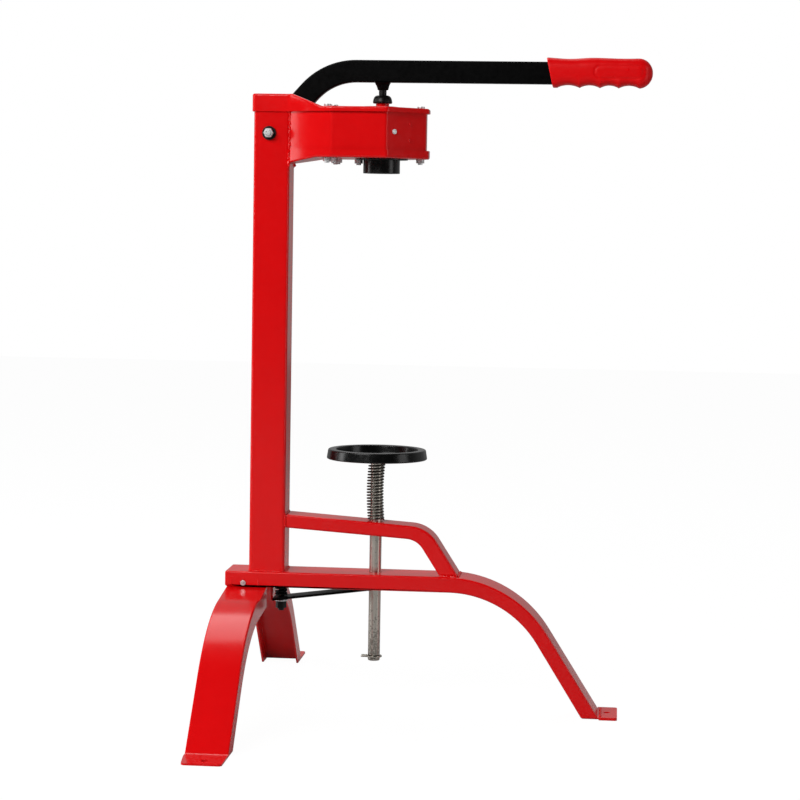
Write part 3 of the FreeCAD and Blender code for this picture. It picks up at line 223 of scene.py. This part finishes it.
# What each gives the eye stands over it. The two numbers after the colours are roughness and then,
# for paint the depth of its peel in mm, for plastic the size and depth of its grain in mm, and for
# plated steel its share of metal.
finishes = {
    # deep signal red with long, clean reflections
    "red_enamel": powder_coat("gloss_red_powder_coat", "dd080b", "e60a0e", 0.17, 0.003, 1.36),
    # a flat, nearly even black with soft edges of light
    "black_enamel": powder_coat("satin_black_powder_coat", "030303", "060606", 0.34, 0.012, 1.14),
    # a warmer red with a broad, soft sheen
    "red_grip": moulded_plastic("moulded_red_vinyl", "e0060a", "e8080e", 0.34, 0.5, 0.006, 1.25),
    # a wet-looking black with a narrow bright rim
    "black_dish": moulded_plastic("gloss_black_moulding", "050505", "0a0a0a", 0.22, 0.8, 0.006),
    # a black with a fine, dull grain
    "black_guide": moulded_plastic("black_nylon_moulding", "060606", "0c0c0c", 0.24, 0.7, 0.012),
    # near-black metal, a little brown where light catches it
    "black_oxide": plated_steel("blackened_steel", "0e0d0c", "1a1816", 0.36, 0.6),
    # grey steel with lines along its length
    "bright_steel": drawn_steel("drawn_bright_steel", "9a958c", "c4bfb5", 0.28),
    # pale, cloudy grey metal
    "zinc_plate": plated_steel("zinc_plated_steel", "d0d2d4", "ececec", 0.30, 0.72),
    # milky white, machined smooth
    "acetal": moulded_plastic("machined_white_acetal", "e2dfd6", "ece9e1", 0.35, 0.6, 0.006),
    # plain mid grey, cut and left bare
    "mill_steel": drawn_steel("milled_steel", "6d6d6e", "8d8d8e", 0.40, (1, 1, 1)),
    # oiled yellow-brown metal
    "bronze": plated_steel("oiled_bronze", "a87a45", "c79a5e", 0.30),
}
rod_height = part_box("rest_rod")[0].z
# pale ground steel with brown oil specks that thin out up the rod, and a darker hard-drawn wire
rod_steel = drawn_steel("oiled_ground_steel", "b4aea4", "d9d4ca", 0.30, spots=(rod_height, 0.06, "3a3128"))
spring_steel = drawn_steel("dark_spring_wire", "4a4741", "6a665e", 0.26)


# Mesh building

def show(name, mesh_data, stands_for=(), like=None, finish=None, angle=38, between=None, along=2):
    """Turns a finished bmesh into a piece that rides on a CAD node's body and takes the material of that
    node's slot. A piece given two bodies is only measured along the axis of that number and stays fixed
    where it stands."""
    like = like or stands_for[0]
    mesh = bpy.data.meshes.new(name)
    mesh_data.normal_update()
    mesh_data.to_mesh(mesh)
    mesh_data.free()
    if "custom_normal" in mesh.attributes:
        mesh.attributes.remove(mesh.attributes["custom_normal"])
    mesh.shade_smooth()
    mesh.set_sharp_from_angle(angle=math.radians(angle))
    mesh.materials.clear()
    mesh.materials.append(finish or finishes[slot_of[like]])
    piece = bpy.data.objects.new(name, mesh)
    scene.collection.objects.link(piece)
    evened = piece.modifiers.new("even_shading", "WEIGHTED_NORMAL")
    evened.keep_sharp = True
    if between:
        reaches = [vert.co[along] for vert in mesh.vertices]
        start, end = Vector(), Vector()
        start[along], end[along] = min(reaches), max(reaches)
        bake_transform(piece)
    else:
        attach(piece, nodes[like]["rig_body"])
    if stands_for:
        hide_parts(*stands_for)
    return piece


def bend_of(edge):
    """The turn between an edge's two faces, in degrees."""
    if len(edge.link_faces) != 2:
        return 0
    return math.degrees(edge.calc_face_angle(0))


def smaller_face(edge):
    return min(face.calc_area() for face in edge.link_faces)


def clean_copy(node):
    made = bmesh.new()
    made.from_mesh(nodes[node].data)
    bmesh.ops.remove_doubles(made, verts=made.verts, dist=0.01 * MM)
    bmesh.ops.dissolve_limit(made, angle_limit=math.radians(0.8), verts=made.verts, edges=made.edges)
    return made


def every(_edge):
    """Picks every edge sharp enough to round."""
    return True


def round_edges(made, wanted, radius, steps=3, clamp=True, least=20):
    """Rounds the sharp edges that a test picks."""
    made.normal_update()
    edges = [edge for edge in made.edges if bend_of(edge) > least and wanted(edge)]
    if edges:
        bmesh.ops.bevel(made, geom=edges, offset=radius * MM, offset_type="OFFSET", segments=steps,
                        profile=0.5, affect="EDGES", clamp_overlap=clamp)


def eased(node, rules=((every, 0.3, 2),), **options):
    """A CAD node shown with its edges rounded as made, one rule after another."""
    made = clean_copy(node)
    for wanted, radius, steps in rules:
        round_edges(made, wanted, radius, steps, clamp=radius < 1)
    return show(node + "_finished", made, [node], **options)


def ends(edge):
    return [vert.co for vert in edge.verts]


def lathe(made, outline, centre, turn=Matrix.Identity(3), around=40):
    """Spins an outline of (radius, height) pairs about a local vertical axis."""
    rings = []
    for radius, height in outline:
        if radius < 0.001 * MM:
            rings.append([made.verts.new(centre + turn @ Vector((0, 0, height)))])
            continue
        angles = [math.tau * step / around for step in range(around)]
        spots = [Vector((radius * math.cos(a), radius * math.sin(a), height)) for a in angles]
        rings.append([made.verts.new(centre + turn @ spot) for spot in spots])
    for low, high in zip(rings, rings[1:]):
        for step in range(around):
            after = (step + 1) % around
            corners = [low[step % len(low)], low[after % len(low)],
                       high[after % len(high)], high[step % len(high)]]
            corners = [c for at, c in enumerate(corners) if c not in corners[:at]]
            if len(corners) > 2:
                made.faces.new(corners)
    return rings


def tube(made, line, thickness, around=10, closed_ends=True):
    """Sweeps a round section along a line of points; thickness is a radius or one per point."""
    rings = []
    side = None
    for at, point in enumerate(line):
        before = line[max(at - 1, 0)]
        after = line[min(at + 1, len(line) - 1)]
        forward = (after - before).normalized()
        if side is None:
            side = forward.orthogonal().normalized()
        side = (side - forward * side.dot(forward)).normalized()
        up = forward.cross(side)
        radius = thickness[at] if isinstance(thickness, list) else thickness
        rings.append([made.verts.new(point + radius * (side * math.cos(a) + up * math.sin(a)))
                      for a in (math.tau * step / around for step in range(around))])
    for low, high in zip(rings, rings[1:]):
        for step in range(around):
            after = (step + 1) % around
            made.faces.new((low[step], low[after], high[after], high[step]))
    if closed_ends:
        made.faces.new(rings[0][::-1])
        made.faces.new(rings[-1])


def helix(radius, low, high, turns, flat=0.75, bow=lambda height: 0, per_turn=26):
    """Points of a coil about the vertical, with closely wound ends, leaning by a bow along X."""
    line = []
    count = int(turns * per_turn)
    for step in range(count + 1):
        turn = step / per_turn
        rise = max(0, min(1, (turn - flat) / (turns - 2 * flat)))
        share = 0.02 * min(turn, flat) / flat + 0.96 * rise + 0.02 * max(0, turn - turns + flat) / flat
        angle = math.tau * turn
        line.append(Vector((radius * math.cos(angle) + bow(share), radius * math.sin(angle),
                            low + (high - low) * share)))
    return line


# Welded frame

def is_long_edge(half):
    """Picks the outer edges that run along a tube's two flat sides."""
    return lambda edge: all(abs(abs(point.y) - half) < 0.05 * MM for point in ends(edge))


def is_upright(edge):
    """Picks the edges that stand straight up."""
    a, b = ends(edge)
    return math.hypot(a.x - b.x, a.y - b.y) < 0.01 * MM


def has_faces_over(square_mm):
    """Picks the edges whose faces are both larger than an area."""
    return lambda edge: smaller_face(edge) > square_mm * MM * MM


def is_rod_hole(edge):
    """Picks the rims of the holes that the rest's rod slides through."""
    reach = 9 * MM
    return all(math.hypot(point.x - axis_x, point.y) < reach for point in ends(edge))


beam_half = beam_high.y
bracket_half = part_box("rest_bracket")[1].y
eased("column", [(has_faces_over(2), 0.4, 2)])
eased("base_beam", [(is_long_edge(beam_half), 2.0, 4), (is_rod_hole, 0.3, 2)])
eased("rest_bracket", [(is_long_edge(bracket_half), 2.4, 5), (is_rod_hole, 0.3, 2)])
eased("front_foot_plate", [(every, 0.5, 2)])


def is_channel_bend(side):
    """Picks the two edges where a leg's web turns into its flanges, from the tab to the foot."""
    foot_start = abs(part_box("rear_leg_far")[1].y) - 40.8 * MM
    tab_height = beam_low.z + 100 * MM
    outward = Vector((0, side, 1))

    def test(edge):
        for point in ends(edge):
            on_tab = point.z > tab_height and abs(point.y) < beam_half
            if on_tab or abs(point.y) > foot_start:
                return False
        normals = [face.normal for face in edge.link_faces]
        on_flange = any(abs(n.x) > 0.9 for n in normals)
        on_web = any(n.dot(outward) > 0.4 and abs(n.x) < 0.1 for n in normals)
        return on_flange and on_web
    return test


def is_toe_corner(edge):
    """Picks the two short upright edges at a foot's outer corners."""
    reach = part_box("rear_leg_far")[1].y - 1 * MM
    return is_upright(edge) and all(abs(point.y) > reach for point in ends(edge))


for node, side in (("rear_leg_near", -1), ("rear_leg_far", 1)):
    eased(node, [(is_channel_bend(side), 2.0, 4), (is_toe_corner, 4.0, 6),
                 (has_faces_over(4), 0.25, 1)])
eased("leg_rivets", [(every, 0.9, 4)])


def is_bend(convex):
    """Picks the upright bends of a folded wall, either its outer or its inner ones."""
    return lambda edge: is_upright(edge) and bend_of(edge) < 60 and edge.is_convex == convex


for node in ("head_wall_near", "head_wall_far"):
    eased(node, [(is_bend(True), 1.8, 4), (is_bend(False), 1.2, 3)])


def is_pressed_edge(rim_height):
    """Picks the outer bends of a pressed cover or tray, not its cut rim, slot or holes."""
    slot = abs(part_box("lever_bush")[1].y) + 1 * MM

    def test(edge):
        if not edge.is_convex or smaller_face(edge) < 7 * MM * MM:
            return False
        if any(abs(p.z - rim_height) < 0.05 * MM for p in ends(edge)) and not is_upright(edge):
            return False
        return not all(abs(p.y) < slot and p.x < axis_x for p in ends(edge))
    return test


eased("head_cover", [(is_pressed_edge(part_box("head_cover")[0].z), 2.2, 4)])
eased("head_tray", [(is_pressed_edge(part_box("head_tray")[1].z), 2.2, 4)])


# Lever and what it carries

eased("lever_bar", [(has_faces_over(30), 1.6, 4)])
for node in ("cam_cheek_near", "cam_cheek_far", "plunger_rod", "pivot_bolt", "pivot_nut", "pivot_washers",
             "lock_washer", "head_nuts", "guide_nuts", "guide_bolts", "head_bolts",
             "seat_screws", "seat_pins", "fulcrum_screw", "dish_screw", "rod_clip", "lock_plate"):
    eased(node)
for node in ("lock_bolt", "lock_nut"):
    eased(node, finish=finishes["black_oxide"])
eased("neck_guide", [(every, 0.6, 3)])
eased("rest_dish", [(every, 0.5, 3)])
eased("rest_rod", [(every, 1.0, 3)], finish=rod_steel)
for node in ("jaw_front", "jaw_near", "jaw_far", "jaw_rear", "jaw_slider", "jaw_seat_near", "jaw_seat_far",
             "spring_posts", "head_sleeves", "pivot_spacers", "lever_bush", "cam_roller", "roller_pin"):
    eased(node)


def window(place, centre, reach):
    """A smooth hump of height one at a place's centre."""
    away = abs(place - centre) / reach
    return math.cos(away * math.pi / 2) ** 2 if away < 1 else 0


def superellipse(half_wide, half_high, power, count):
    """Points round a soft-cornered section, as (across, up)."""
    points = []
    for step in range(count):
        angle = math.tau * step / count
        c, s = math.cos(angle), math.sin(angle)
        points.append((half_wide * math.copysign(abs(c) ** (2 / power), c),
                       half_high * math.copysign(abs(s) ** (2 / power), s)))
    return points


def join_rings(made, rings):
    for low, high in zip(rings, rings[1:]):
        for step in range(len(low)):
            after = (step + 1) % len(low)
            made.faces.new((low[step], low[after], high[after], high[step]))


def grip(stations=170, around=116):
    """The moulded grip: finger hollows below, a waved top, a rounded butt, a slanted mouth round
    the bar, and a grooved long panel on each side."""
    low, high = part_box("lever_grip")
    bar_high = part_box("lever_bar")[1]
    level = bar_high.z - 11.5 * MM
    length = 106.3 * MM
    mouth = high.x - length
    over, under, half = high.z - level, level - low.z, high.y
    butt = 15 * MM
    slant, slant_reach = 7 * MM, 34 * MM
    # dips of the top, each as depth, place from the mouth and reach either way
    dips = ((1.3 * MM, 21 * MM, 24 * MM), (0.6 * MM, 76 * MM, 30 * MM))
    # places from the mouth of the cusps between the finger hollows
    cusps = [5 * MM, 30.7 * MM, 52 * MM, 71.4 * MM, 92.7 * MM]
    hollow_depth, hollow_fullness = 2.9 * MM, 0.8
    panel_start, panel_end = mouth + 45.9 * MM, mouth + 97 * MM
    panel_height, panel_half = level + 0.9 * MM, 6.6 * MM
    trench_depth, trench_half = 0.7 * MM, 1.5 * MM
    floor_depth, floor_ramp = 0.25 * MM, 1.0 * MM
    side_starts = half * 0.7

    def top(reach):
        height = over
        for depth, place, spread in dips:
            height -= depth * window(reach, place, spread)
        return height

    def bottom(reach):
        for start, end in zip(cusps, cusps[1:]):
            if start < reach < end:
                share = (reach - start) / (end - start)
                return under - hollow_depth * math.sin(math.pi * share) ** hollow_fullness
        return under

    def groove(x, z):
        """How deep the side is pressed in, from the distance to the panel's rounded border."""
        inner = max(panel_start + panel_half, min(x, panel_end - panel_half))
        away = math.hypot(x - inner, z - panel_height) - panel_half
        trench = trench_depth * max(0, 1 - abs(away) / trench_half)
        sunk = floor_depth * max(0, min(1, -away / floor_ramp))
        return trench + sunk

    made = bmesh.new()
    rings = []

    def ring_at(reach, swell=1.0, wide=None, tall=None, power=3.0):
        taper = 1.0
        left = length - reach
        if left < butt:
            taper = math.sqrt(max(0.0, 1 - ((butt - left) / butt) ** 2))
        up, down = (top(reach), bottom(reach)) if tall is None else (tall, tall)
        centre, tall_half = (up - down) / 2, (up + down) / 2
        if tall is not None:
            centre = 0
        ring = []
        half_wide = (wide or half) * swell * (taper if wide is None else 1)
        for across, rise in superellipse(half_wide, tall_half * swell * taper, power, around):
            z = level + centre + rise
            fade = max(0.0, 1 - reach / slant_reach)
            x = mouth + reach - slant * fade * (z - level) / (over + under)
            y = across
            if abs(y) > side_starts and wide is None:
                y -= math.copysign(groove(x, z), y)
            ring.append(made.verts.new((x, y, z)))
        rings.append(ring)

    # a squared bore round the bar, then the mouth's rounded lip, then rings that crowd at the butt
    bar_half, bar_tall, squared = bar_high.y + 0.15 * MM, 11.65 * MM, 9
    ring_at(4 * MM, wide=bar_half, tall=bar_tall, power=squared)
    ring_at(0.3 * MM, wide=bar_half, tall=bar_tall, power=squared)
    ring_at(0, swell=0.90)
    ring_at(0.15 * MM, swell=0.965)
    crowded = 0.14
    first, last = 0.9 * MM, 0.05 * MM
    for step in range(stations):
        share = step / (stations - 1)
        if share >= 1 - crowded:
            share = 1 - (1 - share) ** 2 / crowded
        ring_at(first + (length - first - last) * min(share, 1))
    join_rings(made, rings)
    made.faces.new(rings[-1])
    bmesh.ops.recalc_face_normals(made, faces=made.faces)
    show("lever_grip_moulding", made, ["lever_grip"], angle=60)


def depth_nut():
    """A black domed crown with faint flats over a red collar, turned on the plunger's rod."""
    low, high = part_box("depth_nut")
    centre = Vector((axis_x, 0, low.z))
    tall, wide = high.z - low.z, high.y
    neck, collar = 4.8 * MM, 6.9 * MM
    bore, rim, flats, flat_depth, around = 4.05 * MM, 0.5 * MM, 6, 0.035, 72
    crown = bmesh.new()
    outline = [(bore, neck + 0.1 * MM), (wide * 0.93, neck + 0.1 * MM), (wide * 0.985, neck + 0.5 * MM),
               (wide, neck + 1.3 * MM), (wide * 0.99, neck + 2.4 * MM)]
    dome_top, dome_side, dome_foot, steps = 5.2 * MM, wide * 0.97, neck + 2.6 * MM, 8
    for step in range(1, steps + 1):
        angle = math.pi / 2 * step / steps
        outline.append((dome_top + (dome_side - dome_top) * math.cos(angle),
                        dome_foot + (tall - dome_foot) * math.sin(angle)))
    outline.append((bore, tall - 0.2 * MM))
    outline.append((bore, neck + 0.1 * MM))
    rings = lathe(crown, outline, centre, around=around)
    for ring in rings[1:-2]:
        for at, vert in enumerate(ring):
            flat = 1 - flat_depth * abs(math.cos(math.tau * at / around * flats / 2)) ** 6
            vert.co.x = axis_x + (vert.co.x - axis_x) * flat
            vert.co.y *= flat
    show("depth_nut_crown", crown, ["depth_nut"], angle=50)
    ring = bmesh.new()
    lathe(ring, [(bore, 0), (collar - rim, 0), (collar, rim), (collar, neck), (bore, neck)], centre)
    show("depth_nut_collar", ring, like="depth_nut", finish=finishes["red_enamel"])


def rough_cone():
    """The plunger's socket: a flared, lumpy weld between the rod and the bar."""
    low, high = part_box("plunger_socket")
    tall = high.z - low.z
    made = bmesh.new()
    waist, waist_height, lowest_flare, steps = 5.4 * MM, 0.6 * MM, 0.8 * MM, 8
    outline = [(4.1 * MM, 0), (4.8 * MM, 0.1 * MM), (waist, waist_height)]
    for step in range(1, steps + 1):
        share = step / steps
        outline.append((waist + (high.y - waist) * share ** 1.5, max(lowest_flare, tall * share)))
    rings = lathe(made, outline, Vector((axis_x, 0, low.z)), around=56)
    coarse, fine = 420, 1100
    for ring in rings[1:-1]:
        for vert in ring:
            swell = 1 + 0.10 * noise.noise(vert.co * coarse) + 0.05 * noise.noise(vert.co * fine)
            vert.co.x = axis_x + (vert.co.x - axis_x) * swell
            vert.co.y *= swell
    show("plunger_socket_weld", made, ["plunger_socket"], angle=70)


def bead(made, start, end, radius, seed=0, spacing=0.8 * MM):
    """A hand-laid weld along a seam, as overlapping lumps of uneven size."""
    start, end = Vector(start), Vector(end)
    count = max(6, int((end - start).length / spacing))
    line, sizes = [], []
    for step in range(count + 1):
        share = step / count
        place = start.lerp(end, share)
        shake = noise.noise_vector(place * 260 + Vector((seed, 0, 0))) * radius * 0.45
        line.append(place + shake)
        ripple = 0.20 * math.sin(step * 2.1 + seed)
        lump = 0.82 + ripple + 0.30 * noise.noise(place * 500 + Vector((0, seed, 0)))
        closing = min(1.0, 0.35 + 2.2 * min(share, 1 - share) * count / 6)
        sizes.append(max(0.25, lump) * radius * closing)
    tube(made, line, sizes, around=12)


def welds():
    """Every seam that shows: round the column's foot, the bracket's ends, the head's joint with
    the column, the leg tabs and the front foot plate."""
    made = bmesh.new()
    half = column_high.y
    front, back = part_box("rest_bracket")[0].x, column_low.x
    foot = beam_high.z
    bracket_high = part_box("rest_bracket")[1]
    tail_depth = 14.3 * MM
    heavy, light, inset = 1.5 * MM, 1.3 * MM, 2 * MM
    for side in (-1, 1):
        bead(made, (back + 3 * MM, side * half, foot), (front - inset, side * half, foot), heavy, side)
    for x in (back, front):
        bead(made, (x, -half + inset, foot), (x, half - inset, foot), light, 5)
    for side in (-1, 1):
        y = side * bracket_high.y
        bead(made, (front, y, bracket_high.z - tail_depth), (front, y, bracket_high.z), light, 9 + side)
        bead(made, (bracket_high.x - 20 * MM, y, foot), (bracket_high.x - 1 * MM, y, foot), light, 14 + side)
        y = side * half
        bead(made, (front, y, head_low.z), (front, y, head_high.z - inset), heavy, 20 + side)
        bead(made, (front - 1 * MM, y, head_low.z - 12 * MM), (front, y, head_low.z + 5 * MM), 2.2 * MM,
             25 + side)
        y = side * beam_high.y
        for x in (axis_x - 150 * MM, axis_x - 122 * MM):
            bead(made, (x, y, foot - 15.5 * MM), (x, y, foot - 8 * MM), 1.1 * MM, 30 + side)
    y = bracket_high.y - 1 * MM
    bead(made, (bracket_high.x, -y, foot), (bracket_high.x, y, foot), light, 40)
    y = bracket_high.y
    bead(made, (front, -y, bracket_high.z), (front, y, bracket_high.z), 1.2 * MM, 44)
    tray_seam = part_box("head_tray")[0].z + 1 * MM
    bead(made, (front, -half, tray_seam), (front, half, tray_seam), heavy, 50)
    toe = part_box("front_foot_plate")[0].x + 3 * MM
    y = beam_high.y - inset
    bead(made, (toe, -y, 3 * MM), (toe, y, 3 * MM), 1.2 * MM, 60)
    show("frame_welds", made, like="column", angle=80)


grip()
depth_nut()
rough_cone()
welds()


# Springs

def spring(node, wire, turns, between, bow=lambda height: 0, finish=None):
    """An upright coil of round wire in its node's place; the two bodies are passed on, but the coil is not
    stretched between them.
    """
    low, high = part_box(node)
    centre = (low + high) / 2
    radius = (high.x - low.x) / 2 - wire / 2
    made = bmesh.new()
    line = helix(radius, low.z + wire / 2, high.z - wire / 2, turns, bow=bow)
    tube(made, [point + Vector((centre.x, centre.y, 0)) for point in line], wire / 2)
    return show(node + "_coil", made, [node], angle=60, between=between, finish=finish)


def lean(share):
    """The rest spring's bow: its middle leans back towards the column, and its top leans away."""
    top_lean, middle_lean = 0.6, 1.5
    return (top_lean * share ** 3 - middle_lean * math.sin(math.pi * share)) * MM


def thrust_springs(wire=1.1 * MM, turns=5):
    """Two short coils along X, squeezed between the slider and its posts."""
    low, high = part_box("slider_springs")
    height = (low.z + high.z) / 2
    radius = (high.z - low.z - wire) / 2
    spread = high.y - radius - wire / 2
    made = bmesh.new()
    for side in (-1, 1):
        coil = helix(radius, low.x + wire / 2, high.x - wire / 2, turns)
        tube(made, [Vector((p.z, p.y + spread * side, p.x + height)) for p in coil], wire / 2)
    show("slider_springs_coil", made, ["slider_springs"], angle=60, between=("slider", "frame"), along=0)


spring("rest_spring", 1.7 * MM, 21, ("frame", "rest"), lean, spring_steel)
spring("lock_spring", 2.4 * MM, 4, ("lock", "frame"))
thrust_springs()


# Floor, camera and light

def floor():
    """White paper under the object. The camera sees it blown out but for its shadows, polished
    faces see a little of its glow, and every other ray meets plain paper."""
    seen, mirrored, brightness, span = 0.9, 0.08, 1.08, 6
    mesh = bpy.data.meshes.new("floor")
    made = bmesh.new()
    bmesh.ops.create_grid(made, x_segments=1, y_segments=1, size=span)
    made.to_mesh(mesh)
    made.free()
    piece = bpy.data.objects.new("floor", mesh)
    piece.location.z = cad_box[0][2] - 0.05 * MM
    scene.collection.objects.link(piece)
    made, tree = new_surface("white_sweep")[:2]
    path = add(tree, "ShaderNodeLightPath")
    glossy = add(tree, "ShaderNodeMath", {0: path.outputs["Is Glossy Ray"], 1: mirrored},
                 operation="MULTIPLY")
    direct = add(tree, "ShaderNodeMath", {0: path.outputs["Is Camera Ray"], 1: seen},
                 operation="MULTIPLY")
    share = add(tree, "ShaderNodeMath", {0: direct.outputs[0], 1: glossy.outputs[0]}, operation="ADD")
    paper = add(tree, "ShaderNodeBsdfDiffuse", {"Color": colour("b4b4b4")})
    glow = add(tree, "ShaderNodeEmission", {"Color": colour("ffffff"), "Strength": brightness})
    mixed = add(tree, "ShaderNodeMixShader", {0: share.outputs[0], 1: paper.outputs[0], 2: glow.outputs[0]})
    add(tree, "ShaderNodeOutputMaterial", {"Surface": mixed.outputs[0]})
    mesh.materials.append(made)


def lamp(name, place, target, width, height, power):
    """A softbox that points at a target; its power is in watts."""
    light = bpy.data.lights.new(name, "AREA")
    light.shape = "RECTANGLE"
    light.size = width
    light.size_y = height
    light.energy = power
    made = bpy.data.objects.new(name, light)
    made.location = place
    made.rotation_euler = (Vector(target) - Vector(place)).to_track_quat("-Z", "Y").to_euler()
    scene.collection.objects.link(made)


def surroundings():
    """A white backdrop behind the object and a dim room in front of it."""
    dim, bright = 0.04, 0.35
    world = bpy.data.worlds.new("studio")
    scene.world = world
    world.use_nodes = True
    tree = world.node_tree
    tree.nodes.clear()
    towards = add(tree, "ShaderNodeTexCoord").outputs["Generated"]
    split = add(tree, "ShaderNodeSeparateXYZ", {0: towards})
    room = add(tree, "ShaderNodeMapRange", {"Value": split.outputs["Y"], "From Min": -0.1, "From Max": 0.35,
                                            "To Min": dim, "To Max": bright})
    path = add(tree, "ShaderNodeLightPath")
    level = add(tree, "ShaderNodeMix", {"Factor": path.outputs["Is Camera Ray"], 2: room.outputs[0], 3: 1.0})
    back = add(tree, "ShaderNodeBackground", {"Color": colour("ffffff"), "Strength": level.outputs[0]})
    add(tree, "ShaderNodeOutputWorld", {"Surface": back.outputs[0]})


def camera():
    """The picture's camera: its place, its turns in degrees and its focal length in millimetres."""
    place = (0.1885, -2.4322, 0.5139)
    yaw, pitch, roll = 5.3218, 4.3363, 0.9526
    lens = bpy.data.cameras.new("camera")
    lens.lens = 104.54
    lens.sensor_width = 36
    made = bpy.data.objects.new("camera", lens)
    turn = (Matrix.Rotation(math.radians(yaw), 4, "Z") @ Matrix.Rotation(math.radians(90 - pitch), 4, "X")
            @ Matrix.Rotation(math.radians(roll), 4, "Z"))
    made.matrix_world = Matrix.Translation(place) @ turn
    scene.collection.objects.link(made)
    scene.camera = made


floor()
surroundings()
lamp("left_softbox", (-2.2, -0.25, 0.8), (-0.1, 0, 0.45), 0.6, 1.6, 13)
lamp("right_softbox", (2.0, -0.8, 0.7), (-0.1, 0, 0.2), 0.8, 1.4, 7)
lamp("top_softbox", (-0.55, 1.1, 2.3), (-0.15, -0.15, 0.1), 1.3, 1.3, 17)
lamp("front_softbox", (-1.5, -2.4, 2.0), (0, 0, 0.3), 2.2, 1.4, 82)
camera()
scene.view_settings.view_transform = "Standard"
